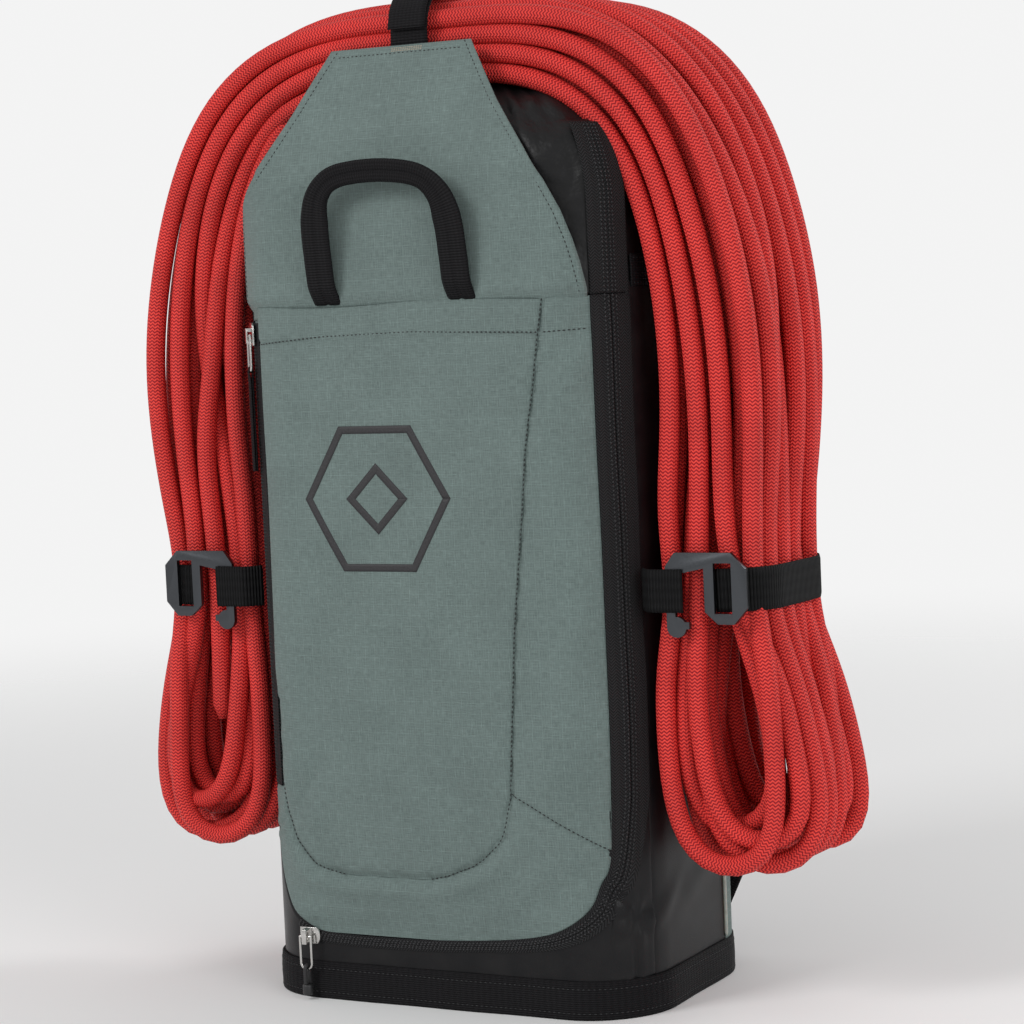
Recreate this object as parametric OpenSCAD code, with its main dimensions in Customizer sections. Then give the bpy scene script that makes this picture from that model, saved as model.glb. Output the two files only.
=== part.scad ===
// Rope pack: a climbing backpack with a coil of rope strapped over its top and down both sides.
// The front faces -Y, the wearer's back is +Y, and the origin is the centre of the base.

/* [Bag] */
// Width across the side panels
bag_w = 260; // [252:1:268]
// Depth from the front panel to the back panel
bag_d = 172; // [166:1:180]
// Height of the closed bag under the rope
bag_h = 556; // [552:1:560]
// Radius of the four upright corners
corner_r = 46; // [42:1:50]
// Thickness of the coated side fabric
wall = 2; // [1.6:0.1:2.4]
// Height of the webbing band round the foot
base_band_h = 23; // [18:1:28]

/* [Front door] */
// Height of the sewn hem line, where pocket and lid flap meet
hem_z = 421; // [415:1:427]
// Bottom edge of the door above the floor
door_bottom = 41; // [36:1:46]
// Radius of the door's lower right corner
door_corner_r = 46; // [36:1:56]
// Width of the emblem printed on the pocket
emblem_w = 100; // [60:1:110]

/* [Straps] */
// Width of the strap webbing
webbing_w = 25; // [20:1:25]
// Thickness of the strap webbing
webbing_t = 1.6; // [1.4:0.1:1.8]
// Height of the two side straps above the floor
side_strap_z = 250; // [240:1:260]
// Width of the folded webbing of the haul handle
handle_w = 20; // [16:1:22]

/* [Rope] */
// Top of the rope where it lies over the bag
rope_top_z = 600; // [596:1:602]
// Half the width of the rope coil, measured over both hanks
rope_half_w = 208; // [200:1:215]
// Lowest point of the rope bights
rope_low_z = 72; // [60:1:90]

/* [Hidden] */
$fn = 64;

half_w = bag_w / 2;
half_d = bag_d / 2;
gap = 0.3;
layer_gap = 0.2;

// Front-view limits of the door and of the two halves of the main zip
door_left = -124;
door_right = 113;
zip_mid = 121.5;
zip_right = 127.8;
zip_drop = 4;
zip_top_z = 500;

// Fabric layers of the door, as distances outside the bag's section
lining_in = -3.2;
lining_out = -2;
gusset_in = lining_out + layer_gap;
pocket_out = 1;
zip_out = 1.2;

green = [0.42, 0.48, 0.47];
black = [0.08, 0.08, 0.085];
satin = [0.05, 0.05, 0.055];
steel = [0.72, 0.73, 0.74];
grey_metal = [0.3, 0.31, 0.33];
rope_red = [0.75, 0.1, 0.1];

// ---- outlines ----

module rounded(hx, hy, r) {
    square([2 * (hx - r), 2 * hy], center = true);
    square([2 * hx, 2 * (hy - r)], center = true);
    for (sx = [-1, 1], sy = [-1, 1])
        translate([sx * (hx - r), sy * (hy - r)]) circle(r);
}

module section(grow) {
    rounded(half_w + grow, half_d + grow, corner_r + grow);
}

// A band of the bag's wall between two distances and two heights
module layer(inner, outer, z0, z1) {
    translate([0, 0, z0])
        linear_extrude(z1 - z0)
            difference() {
                section(outer);
                section(inner);
            }
}

// A front-view outline (x, z) carried back to the middle of the bag
module from_front(depth = half_d + 20) {
    rotate([90, 0, 0])
        linear_extrude(depth)
            children();
}

// A side-view outline (y, z) carried across x0 to x1
module from_side(x0, x1) {
    translate([x0, 0, 0])
        rotate([90, 0, 90])
            linear_extrude(x1 - x0)
                children();
}

// Door-shaped outline: straight sides, rounded lower corners
module door_shape(left, right, bottom, top, r_left, r_right) {
    translate([left + r_left, bottom]) square([right - left - r_left - r_right, top - bottom]);
    translate([left, bottom + r_left]) square([r_left + 1, top - bottom - r_left]);
    translate([right - r_right - 1, bottom + r_right]) square([r_right + 1, top - bottom - r_right]);
    translate([left + r_left, bottom + r_left]) circle(r_left);
    translate([right - r_right, bottom + r_right]) circle(r_right);
}

module door_outline(grow = 0, top = hem_z) {
    door_shape(door_left, door_right + grow, door_bottom - grow / 2, top, 34,
               door_corner_r + grow / 2);
}

module box_between(low, high) {
    translate(low) cube(high - low);
}

// ---- bag shell ----

module base_panel() {
    color(satin)
        linear_extrude(3)
            section(-layer_gap);
}

module base_band() {
    color(black)
        layer(layer_gap, 3, 0, base_band_h);
}

module lower_front_panel() {
    color(satin)
        difference() {
            intersection() {
                layer(-wall, 0, 3 + layer_gap, door_bottom + 60);
                box_between([door_left, -half_d - 5, 0], [zip_right, -half_d + corner_r - 2, 200]);
            }
            from_front() door_outline(grow = zip_right - door_right + gap, top = 200);
        }
}

module side_panel(side) {
    color(satin)
        intersection() {
            layer(-wall, 0, 3 + layer_gap, hem_z + 7);
            box_between([side > 0 ? zip_right + gap : -half_w - 5, -half_d, 0],
                        [side > 0 ? half_w + 5 : door_left - gap, half_d - corner_r, 500]);
        }
}
module side_panel_right() { side_panel(1); }
module side_panel_left() { side_panel(-1); }

// Grey-green strip that binds each rear corner
module back_edge(side) {
    color(green)
        intersection() {
            layer(-wall, 0, 3 + layer_gap, hem_z + 7);
            box_between([side > 0 ? half_w - corner_r : -half_w - 5, half_d - corner_r + gap, 0],
                        [side > 0 ? half_w + 5 : corner_r - half_w, half_d + 5, 500]);
        }
}
module back_edge_right() { back_edge(1); }
module back_edge_left() { back_edge(-1); }

back_half_w = half_w - corner_r - gap;

module back_panel() {
    color(black)
        box_between([-back_half_w, half_d - wall, 3 + layer_gap], [back_half_w, half_d, hem_z + 7]);
}

module frame_sheet() {
    color([0.85, 0.85, 0.83])
        translate([0, half_d - wall - layer_gap, 0])
            rotate([90, 0, 0])
                linear_extrude(1.5)
                    translate([0, 215]) rounded(78, 200, 25);
}

// A pad of the back panel: rounded outline, 9 mm of foam
module back_pad(x, z, hx, hz, r) {
    color(black)
        translate([x, half_d + 9.2, z])
            rotate([90, 0, 0])
                linear_extrude(9)
                    rounded(hx, hz, r);
}
module back_pad_right() { back_pad(46, 275, 32, 125, 24); }
module back_pad_left() { back_pad(-46, 275, 32, 125, 24); }
module lumbar_pad() { back_pad(0, 90, 78, 42, 24); }

// Domed top of the bag, gathered round a small mouth
dome_r_x = 80;
dome_r_y = 66;
mouth_r = 26;

module dome_body(grow, low) {
    intersection() {
        translate([0, 0, low]) linear_extrude(bag_h + grow - low) section(grow);
        translate([0, half_d + 20, 0])
            rotate([90, 0, 0])
                linear_extrude(bag_d + 40)
                    arch(half_w + grow, bag_h + grow, dome_r_x + grow);
        from_side(-half_w - 5, half_w + 5)
            arch(half_d + grow, bag_h + grow, dome_r_y + grow);
    }
}

// Upright outline with two rounded top corners
module arch(hx, top, r) {
    translate([-hx, 0]) square([2 * hx, top - r]);
    translate([r - hx, 0]) square([2 * (hx - r), top]);
    for (s = [-1, 1]) translate([s * (hx - r), top - r]) circle(r);
}

module collar() {
    color(black)
        difference() {
            dome_body(0, hem_z + 7 + layer_gap);
            dome_body(-1.4, hem_z);
            translate([0, 0, bag_h - 10]) cylinder(h = 20, r = mouth_r);
            collar_zip_slot();
        }
}

// Where the closed upper stretch of the main zip runs through the collar
module collar_zip_slot() {
    box_between([door_right, -half_d, hem_z], [zip_right, -54, zip_top_z]);
}

module collar_hem() {
    color(black)
        translate([0, 0, bag_h - 12])
            difference() {
                cylinder(h = 7.2, r = mouth_r + 6);
                translate([0, 0, -1]) cylinder(h = 10, r = mouth_r);
            }
}

// Flat band sewn over the joint of side panel and collar
module side_band(side) {
    color(black)
        intersection() {
            layer(layer_gap, 1, hem_z + 3, hem_z + 23);
            box_between([side > 0 ? 100 : -half_w - 5, side > 0 ? -53 : -60, 0],
                        [side > 0 ? half_w + 5 : -100, half_d - corner_r, 600]);
        }
}
module side_band_right() { side_band(1); }
module side_band_left() { side_band(-1); }

// ---- main zip ----

module zip_band(from_grow, to_grow, top) {
    intersection() {
        layer(-1, zip_out, door_bottom - zip_drop - 6, top);
        difference() {
            from_front() door_outline(grow = to_grow, top = top);
            from_front() door_outline(grow = from_grow, top = top + 10);
        }
        box_between([door_left + 20, -half_d - 5, 0], [zip_right + 5, -40, top]);
    }
}

module main_zip_outer() {
    color(black)
        zip_band(zip_mid - door_right + gap, zip_right - door_right, hem_z);
}

module main_zip_inner() {
    color(black)
        zip_band(gap, zip_mid - door_right, hem_z);
}

module main_zip_upper() {
    color(black)
        intersection() {
            layer(-1, zip_out, hem_z + gap, zip_top_z - gap);
            box_between([door_right + gap, -half_d, 0], [zip_right - gap, -54 - gap, zip_top_z]);
        }
}

// ---- side straps ----

// Waist of a rope hank inside its strap
waist_x = 171;
waist_y = -9;
waist_hx = 36;
waist_hy = 50;
waist_r = 24;
strap_low = side_strap_z - webbing_w / 2;

module waist(grow) {
    translate([waist_x, waist_y]) rounded(waist_hx + grow, waist_hy + grow, waist_r + grow);
}

strap_slack = 0.5;
strap_face_y = waist_y - waist_hy - strap_slack;
slot_x = 186;

module strap_wrap(side) {
    color(black)
        scale_side(side)
            translate([0, 0, strap_low])
                linear_extrude(webbing_w)
                    difference() {
                        union() {
                            waist(strap_slack + webbing_t);
                            translate([half_w + gap, waist_y + waist_hy + strap_slack])
                                square([30, webbing_t]);
                        }
                        waist(strap_slack);
                        translate([100, -80]) square([slot_x - 100, 80]);
                        translate([100, -1]) square([half_w - 93, waist_hy + waist_y - 2]);
                    }
}
module strap_wrap_right() { strap_wrap(1); }
module strap_wrap_left() { strap_wrap(-1); }

// Left-hand pieces are the right-hand ones mirrored
module scale_side(side) {
    if (side > 0) children();
    else mirror([1, 0, 0]) children();
}

hook_y = strap_face_y - webbing_t - 0.4;
hook_t = 3.2;
hook_left = 148;
hook_right = 198;
hook_low = side_strap_z - 19;
hook_high = side_strap_z + 22;
loop_front_y = hook_y - hook_t - 0.3;

// Short sewn loop that the hook's free bar lies in
module strap_loop(side) {
    color(black)
        scale_side(side)
            translate([0, 0, strap_low])
                linear_extrude(webbing_w)
                    polygon([[129.4, -57.5], [131.4, -59.6], [138, loop_front_y - webbing_t],
                             [159, loop_front_y - webbing_t], [159, loop_front_y],
                             [139, loop_front_y], [133, -60], [130.4, -56.5]]);
}
module strap_loop_right() { strap_loop(1); }
module strap_loop_left() { strap_loop(-1); }

// G-shaped hook: a slotted frame, a top arm and a free bar with a turned tip
module hook_outline() {
    frame_left = 172;
    difference() {
        polygon([[frame_left, hook_low + 7], [frame_left + 8, hook_low], [hook_right - 8, hook_low],
                 [hook_right, hook_low + 9], [hook_right, hook_high - 9],
                 [hook_right - 9, hook_high], [hook_left + 6, hook_high],
                 [hook_left, hook_high - 8], [hook_left, hook_high - 14],
                 [frame_left, hook_high - 9]]);
        translate([frame_left + 6, hook_low + 6]) square([11, hook_high - hook_low - 12]);
    }
    translate([hook_left, hook_low - 3]) square([5.5, hook_high - hook_low - 6]);
    translate([hook_left + 6, hook_low - 2]) circle(6);
    translate([hook_left + 6, hook_low - 3]) square([8, 4]);
}

module side_hook(side) {
    color(grey_metal)
        scale_side(side)
            translate([0, hook_y, 0])
                rotate([90, 0, 0])
                    linear_extrude(hook_t)
                        hook_outline();
}
module side_hook_right() { side_hook(1); }
module side_hook_left() { side_hook(-1); }

// ---- back harness ----

strap_curve_r = 416;
strap_y = half_d + 10;
strap_low_z = 150;
strap_high_z = 440;

module shoulder_strap(side) {
    color(black)
        scale_side(side)
            translate([0, strap_y + 11, 0])
                rotate([90, 0, 0])
                    linear_extrude(11)
                        intersection() {
                            translate([76 - strap_curve_r, (strap_low_z + strap_high_z) / 2])
                                difference() {
                                    circle(strap_curve_r + 29, $fn = 180);
                                    circle(strap_curve_r - 29, $fn = 180);
                                }
                            translate([0, strap_low_z]) square([150, strap_high_z - strap_low_z]);
                        }
}
module shoulder_strap_right() { shoulder_strap(1); }
module shoulder_strap_left() { shoulder_strap(-1); }

module flat_strap(x0, z0, x1, z1, width) {
    length = norm([x1 - x0, z1 - z0]);
    angle = atan2(x1 - x0, z1 - z0);
    translate([x0, z0]) rotate(-angle) translate([-width / 2, 0]) square([width, length]);
}

anchor_x = 112;
anchor_z = 46;

module shoulder_webbing(side) {
    color(black)
        scale_side(side)
            translate([0, strap_y + 4.6, 0])
                rotate([90, 0, 0])
                    linear_extrude(webbing_t)
                        flat_strap(anchor_x - 8.5, anchor_z + 32, 60, strap_low_z - 6, 20);
}
module shoulder_webbing_right() { shoulder_webbing(1); }
module shoulder_webbing_left() { shoulder_webbing(-1); }

// Three-bar adjuster between anchor webbing and shoulder strap webbing
module ladder_lock(side) {
    color(black)
        scale_side(side)
            translate([anchor_x - 3, strap_y + 6, anchor_z + 17])
                rotate([90, 0, 0])
                    rotate(20)
                        linear_extrude(4)
                            difference() {
                                rounded(15, 12, 3);
                                for (dz = [-5, 5]) translate([-11, dz - 2.5]) square([22, 5]);
                            }
}
module ladder_lock_right() { ladder_lock(1); }
module ladder_lock_left() { ladder_lock(-1); }

module strap_anchor(side) {
    color(black)
        scale_side(side)
            translate([0, strap_y - 0.4, 0])
                rotate([90, 0, 0])
                    linear_extrude(webbing_t)
                        flat_strap(90, 12, anchor_x, anchor_z + 12, 20);
}
module strap_anchor_right() { strap_anchor(1); }
module strap_anchor_left() { strap_anchor(-1); }

// Grab loop at the top of the back, leaning outwards from its sewn foot
grab_pivot_y = half_d + 2.5;
grab_pivot_z = 448;
grab_tilt = 15;
grab_t = 3;

module grab_loop() {
    color(black)
        translate([0, grab_pivot_y, grab_pivot_z])
            rotate([90 - grab_tilt, 0, 0])
                translate([0, 28, -grab_t / 2])
                    linear_extrude(grab_t)
                        difference() {
                            rounded(48, 34, 22);
                            translate([0, -6]) rounded(34, 26, 14);
                            translate([-60, -50]) square([120, 22]);
                        }
}

// ---- top strap ----

top_strap_x = -5;

// A strap seen from the side: hand-set points of its underside, thickened outwards
function step_normal(a, b) = [a[1] - b[1], b[0] - a[0]] / norm(b - a);
function strap_outside(points, i, thick) =
    let (last = len(points) - 1,
         before = step_normal(points[max(i, 1) - 1], points[max(i, 1)]),
         after = step_normal(points[min(i, last - 1)], points[min(i, last - 1) + 1]))
    points[i] + (before + after) * thick / (1 + before * after);

module side_strap_profile(points, thick) {
    outside = [for (i = [len(points) - 1 : -1 : 0]) strap_outside(points, i, thick)];
    polygon(concat(points, outside));
}

front_strap_points = [[-62, 560], [-61, 585], [-54, 598], [-44, 603], [-14, 604]];
tail_points = [[-65, 582], [-61, 594], [-54, 602], [-42, 606.2], [-14, 607.2]];
rear_strap_points = [[12, 602.5], [40, 602.5], [52, 594], [88, 500], [88, 470]];

module top_strap(points, thick) {
    color(black)
        from_side(top_strap_x - webbing_w / 2, top_strap_x + webbing_w / 2)
            side_strap_profile(points, thick);
}
module top_strap_front() { top_strap(front_strap_points, webbing_t); }
module top_strap_tail() { top_strap(tail_points, webbing_t); }
module top_strap_rear() { top_strap(rear_strap_points, webbing_t); }

module top_hook() {
    color(black)
        translate([top_strap_x, -1, 604.4])
            linear_extrude(4)
                difference() {
                    rounded(18, 12, 5);
                    translate([-13.5, -7.5]) square([27, 5]);
                    translate([-13.5, 2.5]) square([27, 5]);
                }
}

// ---- rope ----

rope_front = -56;
rope_back = 44;
rope_split_z = 462;
rope_arch_r = 170;

// Rope lying over the dome: rounded outside, hollowed to the bag's own outline
rope_edge_r = 18;

module rope_over_top() {
    low = rope_split_z + gap;
    high = rope_top_z - rope_edge_r;
    front_edge = [for (a = [180 : -30 : 90])
        [rope_front + rope_edge_r * (1 + cos(a)), high + rope_edge_r * sin(a)]];
    back_edge = [for (a = [90 : -30 : 0])
        [rope_back - rope_edge_r * (1 - cos(a)), high + rope_edge_r * sin(a)]];
    color(rope_red)
        difference() {
            intersection() {
                translate([0, rope_back, 0])
                    rotate([90, 0, 0])
                        linear_extrude(rope_back - rope_front)
                            arch(rope_half_w, rope_top_z, rope_arch_r);
                from_side(-rope_half_w - 5, rope_half_w + 5)
                    polygon(concat([[rope_front, low]], front_edge, back_edge, [[rope_back, low]]));
            }
            translate([0, rope_back + 5, 0])
                rotate([90, 0, 0])
                    linear_extrude(rope_back - rope_front + 10)
                        arch(half_w + 1.6, bag_h + 1.4, dome_r_x + 1.4);
        }
}

// Hank seen from the front: straight above the strap, one wide lobe below it
lobe_x = 187;
lobe_half_w = 53;

module hank_outline() {
    translate([half_w + 4, side_strap_z + 14])
        square([rope_half_w - half_w - 4, rope_split_z - side_strap_z - 14]);
    polygon([[waist_x - waist_hx, side_strap_z - 14], [waist_x + waist_hx, side_strap_z - 14],
             [lobe_x + lobe_half_w, rope_low_z + 80], [lobe_x + lobe_half_w, rope_low_z + lobe_half_w],
             [lobe_x - lobe_half_w + 2, rope_low_z + lobe_half_w]]);
    translate([lobe_x, rope_low_z + lobe_half_w]) circle(lobe_half_w);
}

module rope_hank(side) {
    color(rope_red)
        scale_side(side) {
            difference() {
                translate([0, rope_back - 2, 0])
                    rotate([90, 0, 0])
                        linear_extrude(rope_back - 2 - rope_front)
                            hank_outline();
                box_between([0, -100, 0], [half_w + 4, 100, 400]);
            }
            translate([0, 0, side_strap_z - 14])
                linear_extrude(28)
                    waist(0);
        }
}
module rope_hank_right() { rope_hank(1); }
module rope_hank_left() { rope_hank(-1); }

// ---- front door ----

module door_lining() {
    color(black)
        intersection() {
            layer(lining_in, lining_out, 0, hem_z);
            from_front() door_outline();
            box_between([door_left, -100, 0], [door_right, -40, 500]);
        }
}

// Seam of the pocket panel: straight sides leaning outwards, rounded foot
pocket_left_low = -110;
pocket_right_low = 52;
pocket_right_high = 86;
pocket_low_z = 78;
pocket_foot_r = 30;

module pocket_outline(grow = 0) {
    translate([pocket_left_low + pocket_foot_r, pocket_low_z - grow])
        square([pocket_right_low - pocket_left_low - 2 * pocket_foot_r, 100]);
    for (x = [pocket_left_low + pocket_foot_r, pocket_right_low - pocket_foot_r])
        translate([x, pocket_low_z + pocket_foot_r]) circle(pocket_foot_r + grow);
    polygon([[pocket_left_low - grow, pocket_low_z + pocket_foot_r],
             [pocket_right_low + grow, pocket_low_z + pocket_foot_r],
             [pocket_right_high + grow, hem_z + 1], [pocket_left_low - grow, hem_z + 1]]);
}

module door_gusset() {
    color(green)
        intersection() {
            layer(gusset_in, 0, 0, hem_z - gap);
            difference() {
                from_front() door_outline();
                from_front() pocket_outline(grow = gap);
                pocket_zip_strip(gap);
            }
            box_between([door_left, -100, 0], [door_right, -40, 500]);
        }
}

pocket_zip_right_x = -110.5;
pocket_zip_mid_x = -117.5;
pocket_zip_low = 128;
pocket_zip_high = hem_z - 8;

module pocket_panel() {
    color(green)
        difference() {
            intersection() {
                layer(gusset_in, pocket_out, 0, hem_z);
                from_front() pocket_outline();
                box_between([door_left, -100, 0], [door_right, -40, 500]);
            }
            pocket_zip_strip(gap);
            handle_feet(0.1);
        }
}

// Generic print: a hexagon ring round a small square stood on its corner
emblem_x = -26;
emblem_z = 306;
emblem_line = 4.5;

module emblem_print() {
    inner_square = emblem_w * 0.3;
    color([0.12, 0.12, 0.13])
        intersection() {
            layer(pocket_out + 0.05, pocket_out + 0.3, 200, 400);
            from_front()
                translate([emblem_x, emblem_z]) {
                    difference() {
                        circle(emblem_w / 2, $fn = 6);
                        circle(emblem_w / 2 - emblem_line * 1.155, $fn = 6);
                    }
                    rotate(45)
                        difference() {
                            square(inner_square, center = true);
                            square(inner_square - 2 * emblem_line, center = true);
                        }
                }
        }
}

// Place of the pocket zip, on the door's rounded left corner
module pocket_zip_strip(grow) {
    box_between([door_left - 5, -100, pocket_zip_low - grow],
                [pocket_zip_right_x + grow, -40, pocket_zip_high]);
}

module pocket_zip_tape(x0, x1) {
    color(black)
        intersection() {
            layer(gusset_in, pocket_out - 0.4, pocket_zip_low, pocket_zip_high - gap);
            box_between([x0, -100, 0], [x1, -40, 500]);
        }
}
module pocket_zip_door_tape() { pocket_zip_tape(door_left + gap, pocket_zip_mid_x - gap / 2); }
module pocket_zip_panel_tape() { pocket_zip_tape(pocket_zip_mid_x + gap / 2, pocket_zip_right_x); }

// ---- haul handle ----

handle_x = -12;
handle_half_w = 58;
handle_top = 505;
handle_pivot_y = -half_d - 7.5;
handle_pivot_z = hem_z + 4;
handle_t = 3.4;
handle_tilt = 7;

module handle_arch() {
    height = handle_top - handle_pivot_z;
    difference() {
        translate([-handle_half_w, 0]) square([2 * handle_half_w, height - 38]);
        translate([handle_w - handle_half_w, -1])
            square([2 * (handle_half_w - handle_w), height - 36]);
    }
    difference() {
        translate([0, height - 38]) rounded(handle_half_w, 38, 37.9);
        translate([0, height - 38 - 15]) rounded(handle_half_w - handle_w, 38, 30);
        translate([-80, -80]) square([160, 80 + height - 38]);
    }
}

module haul_handle() {
    color(black)
        translate([handle_x, handle_pivot_y, handle_pivot_z])
            rotate([90 + handle_tilt, 0, 0])
                translate([0, 0, -handle_t / 2])
                    linear_extrude(handle_t)
                        handle_arch();
}

// Feet of the handle webbing, sewn between lining and pocket hem
module handle_feet(grow) {
    for (side = [-1, 1])
        translate([handle_x + side * (handle_half_w - handle_w / 2), 0, 0])
            box_between([-handle_w / 2 - grow, -half_d + 0.1 - grow, hem_z - 30 - grow],
                        [handle_w / 2 + grow, -half_d + 1.7 + grow, hem_z + grow]);
}

module handle_anchor() {
    color(black) handle_feet(0);
}

// ---- lid flap ----

lid_low = hem_z + 3;
lid_turn_z = 495;
lid_top_z = 572;
lid_in = 1.6;
lid_out = 3;

module lid_outline() {
    polygon([[door_left + 1, lid_low], [112, lid_low], [107, 453], [92, 488], [59, 536],
             [38, lid_top_z], [-57, lid_top_z], [-79, 536], [-112, 488], [door_left + 1, 470]]);
}

module lid_flap() {
    color(green) {
        intersection() {
            layer(lid_in, lid_out, lid_low, lid_turn_z);
            from_front() lid_outline();
            box_between([-200, -120, 0], [200, -40, 600]);
        }
        intersection() {
            from_side(-150, 150)
                polygon([[-half_d - lid_in, lid_turn_z - gap], [-half_d - lid_out, lid_turn_z - gap],
                         [-65.4, lid_top_z + 1], [-64, lid_top_z + 1]]);
            from_front(130) lid_outline();
        }
    }
}

// ---- zip sliders and pulls ----

// Slider plate with a rounded nose, lying on the zip
module slider_plate() {
    rotate([90, 0, 0])
        linear_extrude(1.4) slider_outline();
}

// Upright bridge on the plate, whose eye holds the wire loop
module slider_bridge(eye) {
    rotate([90, 0, 0])
        translate([0, 0, 1.2])
            difference() {
                translate([-1.6, -4.6, 0]) cube([3.2, 9.2, eye + 0.8]);
                translate([-3, -2.4, eye - 2.6]) cube([6, 4.8, 2.4]);
            }
}

module slider_outline() {
    translate([-5, -6]) square([10, 9]);
    intersection() {
        translate([0, 1]) circle(7);
        translate([-5, 0]) square([10, 10]);
    }
}

// Closed loop of round wire, hanging from its top bar
module wire_loop(width, length, wire) {
    rotate([90, 0, 0]) {
        for (s = [-1, 1])
            translate([s * width / 2, 0, 0])
                rotate([90, 0, 0]) cylinder(h = length - width / 2, r = wire / 2);
        translate([0, width / 2 - length, 0])
            rotate([0, 0, 180])
                rotate_extrude(angle = 180) translate([width / 2, 0]) circle(wire / 2);
        translate([-width / 2, 0, 0]) rotate([0, 90, 0]) cylinder(h = width, r = wire / 2);
        for (s = [-1, 1]) translate([s * width / 2, 0, 0]) sphere(wire / 2);
    }
}

// Pocket slider on the left corner, turned to face outwards there
pocket_slider_z = 405;
pocket_slider_turn = -46.5;
pocket_slider_r = corner_r + pocket_out;
slider_lift = 0.2;
pull_eye = 2.7;
pull_lift = slider_lift + pull_eye;

module at_pocket_slider(lift) {
    translate([corner_r - half_w, corner_r - half_d, pocket_slider_z])
        rotate([0, 0, pocket_slider_turn])
            translate([0, -pocket_slider_r - lift, 0])
                children();
}

module pocket_zip_slider() {
    color(steel)
        at_pocket_slider(slider_lift) {
            slider_plate();
            slider_bridge(pull_eye);
        }
}
module pocket_zip_loop() { color(steel) at_pocket_slider(pull_lift) wire_loop(7.6, 22, 1.6); }

module pocket_pull_tab() {
    color(black)
        at_pocket_slider(pull_lift)
            translate([-3, -1.4, -83]) {
                difference() {
                    union() {
                        cube([6, 2.8, 59.7]);
                        translate([0.8, 0, 59]) cube([4.4, 2.8, 6]);
                    }
                    translate([-1, 0.2, 59.7]) cube([8, 2.4, 3.9]);
                }
            }
}

main_slider_x = -90;
main_slider_z = 39;
main_lift = zip_out + slider_lift;
main_pull_eye = 5.3;

module at_main_slider(lift) {
    translate([main_slider_x, -half_d - lift, main_slider_z])
        children();
}

// The plate lies along the level stretch of the zip, and the bridge stands across it
module main_zip_slider() {
    color(steel)
        at_main_slider(main_lift) {
            rotate([0, 90, 0]) slider_plate();
            slider_bridge(main_pull_eye);
        }
}

module main_zip_loop() {
    color(steel) at_main_slider(main_lift + main_pull_eye) wire_loop(7.6, 20, 1.6);
}

// Doubled cord over the wire loop, ending in a moulded grip
main_cord_r = 1.2;
main_cord_bend_r = 2.2;
main_grip_top = -29.2;

module main_pull_cord() {
    color(black)
        at_main_slider(main_lift + main_pull_eye) {
            for (s = [-1, 1])
                translate([0, s * main_cord_bend_r, main_grip_top + 0.2])
                    cylinder(h = -20 - main_grip_top - 0.2, r = main_cord_r);
            translate([0, 0, -20])
                rotate([90, 0, 90])
                    rotate_extrude(angle = 180) translate([main_cord_bend_r, 0]) circle(main_cord_r);
        }
}

module main_pull_end() {
    color(black)
        at_main_slider(main_lift + main_pull_eye)
            translate([0, 0, main_grip_top - 6.8]) cylinder(h = 6.8, r = 3.2);
}

base_panel();
base_band();
lower_front_panel();
side_panel_right();
side_panel_left();
back_edge_right();
back_edge_left();
back_panel();
frame_sheet();
back_pad_right();
back_pad_left();
lumbar_pad();
collar();
collar_hem();
side_band_right();
side_band_left();
main_zip_outer();
main_zip_upper();
strap_loop_right();
strap_loop_left();
strap_wrap_right();
strap_wrap_left();
side_hook_right();
side_hook_left();
shoulder_strap_right();
shoulder_strap_left();
shoulder_webbing_right();
shoulder_webbing_left();
ladder_lock_right();
ladder_lock_left();
strap_anchor_right();
strap_anchor_left();
grab_loop();
top_strap_rear();
rope_over_top();
rope_hank_right();
rope_hank_left();
door_lining();
door_gusset();
pocket_panel();
emblem_print();
main_zip_inner();
pocket_zip_door_tape();
pocket_zip_panel_tape();
handle_anchor();
lid_flap();
top_strap_front();
top_strap_tail();
top_hook();
haul_handle();
pocket_zip_slider();
pocket_zip_loop();
pocket_pull_tab();
main_zip_slider();
main_zip_loop();
main_pull_cord();
main_pull_end();
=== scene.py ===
import math

import bmesh
import bpy
import numpy as np
from mathutils import Matrix, Vector


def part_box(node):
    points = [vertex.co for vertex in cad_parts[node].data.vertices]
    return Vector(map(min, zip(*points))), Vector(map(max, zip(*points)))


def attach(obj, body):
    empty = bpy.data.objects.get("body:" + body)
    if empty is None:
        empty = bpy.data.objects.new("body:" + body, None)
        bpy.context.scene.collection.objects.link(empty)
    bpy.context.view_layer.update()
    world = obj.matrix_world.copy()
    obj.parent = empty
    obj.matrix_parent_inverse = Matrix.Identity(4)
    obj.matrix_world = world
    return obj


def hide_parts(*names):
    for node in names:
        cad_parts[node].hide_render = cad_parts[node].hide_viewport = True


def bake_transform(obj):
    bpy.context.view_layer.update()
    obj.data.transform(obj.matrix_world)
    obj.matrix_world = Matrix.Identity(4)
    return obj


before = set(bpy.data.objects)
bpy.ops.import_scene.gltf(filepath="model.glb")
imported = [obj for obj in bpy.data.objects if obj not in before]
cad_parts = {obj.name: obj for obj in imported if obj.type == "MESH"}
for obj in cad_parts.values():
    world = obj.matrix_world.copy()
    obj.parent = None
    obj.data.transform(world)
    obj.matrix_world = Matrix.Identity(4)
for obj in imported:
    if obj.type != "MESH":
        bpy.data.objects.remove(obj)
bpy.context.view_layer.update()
MM = 0.001

# ---- Camera, floor and light ----
# A long lens looks at the pack from its front right, a little from above. The pack stands on a
# pale floor between large soft lamps, as in a small product studio.
CAMERA_TURN = math.radians(28)
CAMERA_DOWN = math.radians(4.5)
CAMERA_ROLL = math.radians(-2.6)
CAMERA_DISTANCE = 1.75
CAMERA_LENS = 99.84
AIM_HEIGHT = 0.29
AIM_ASIDE = 0.0145

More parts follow.
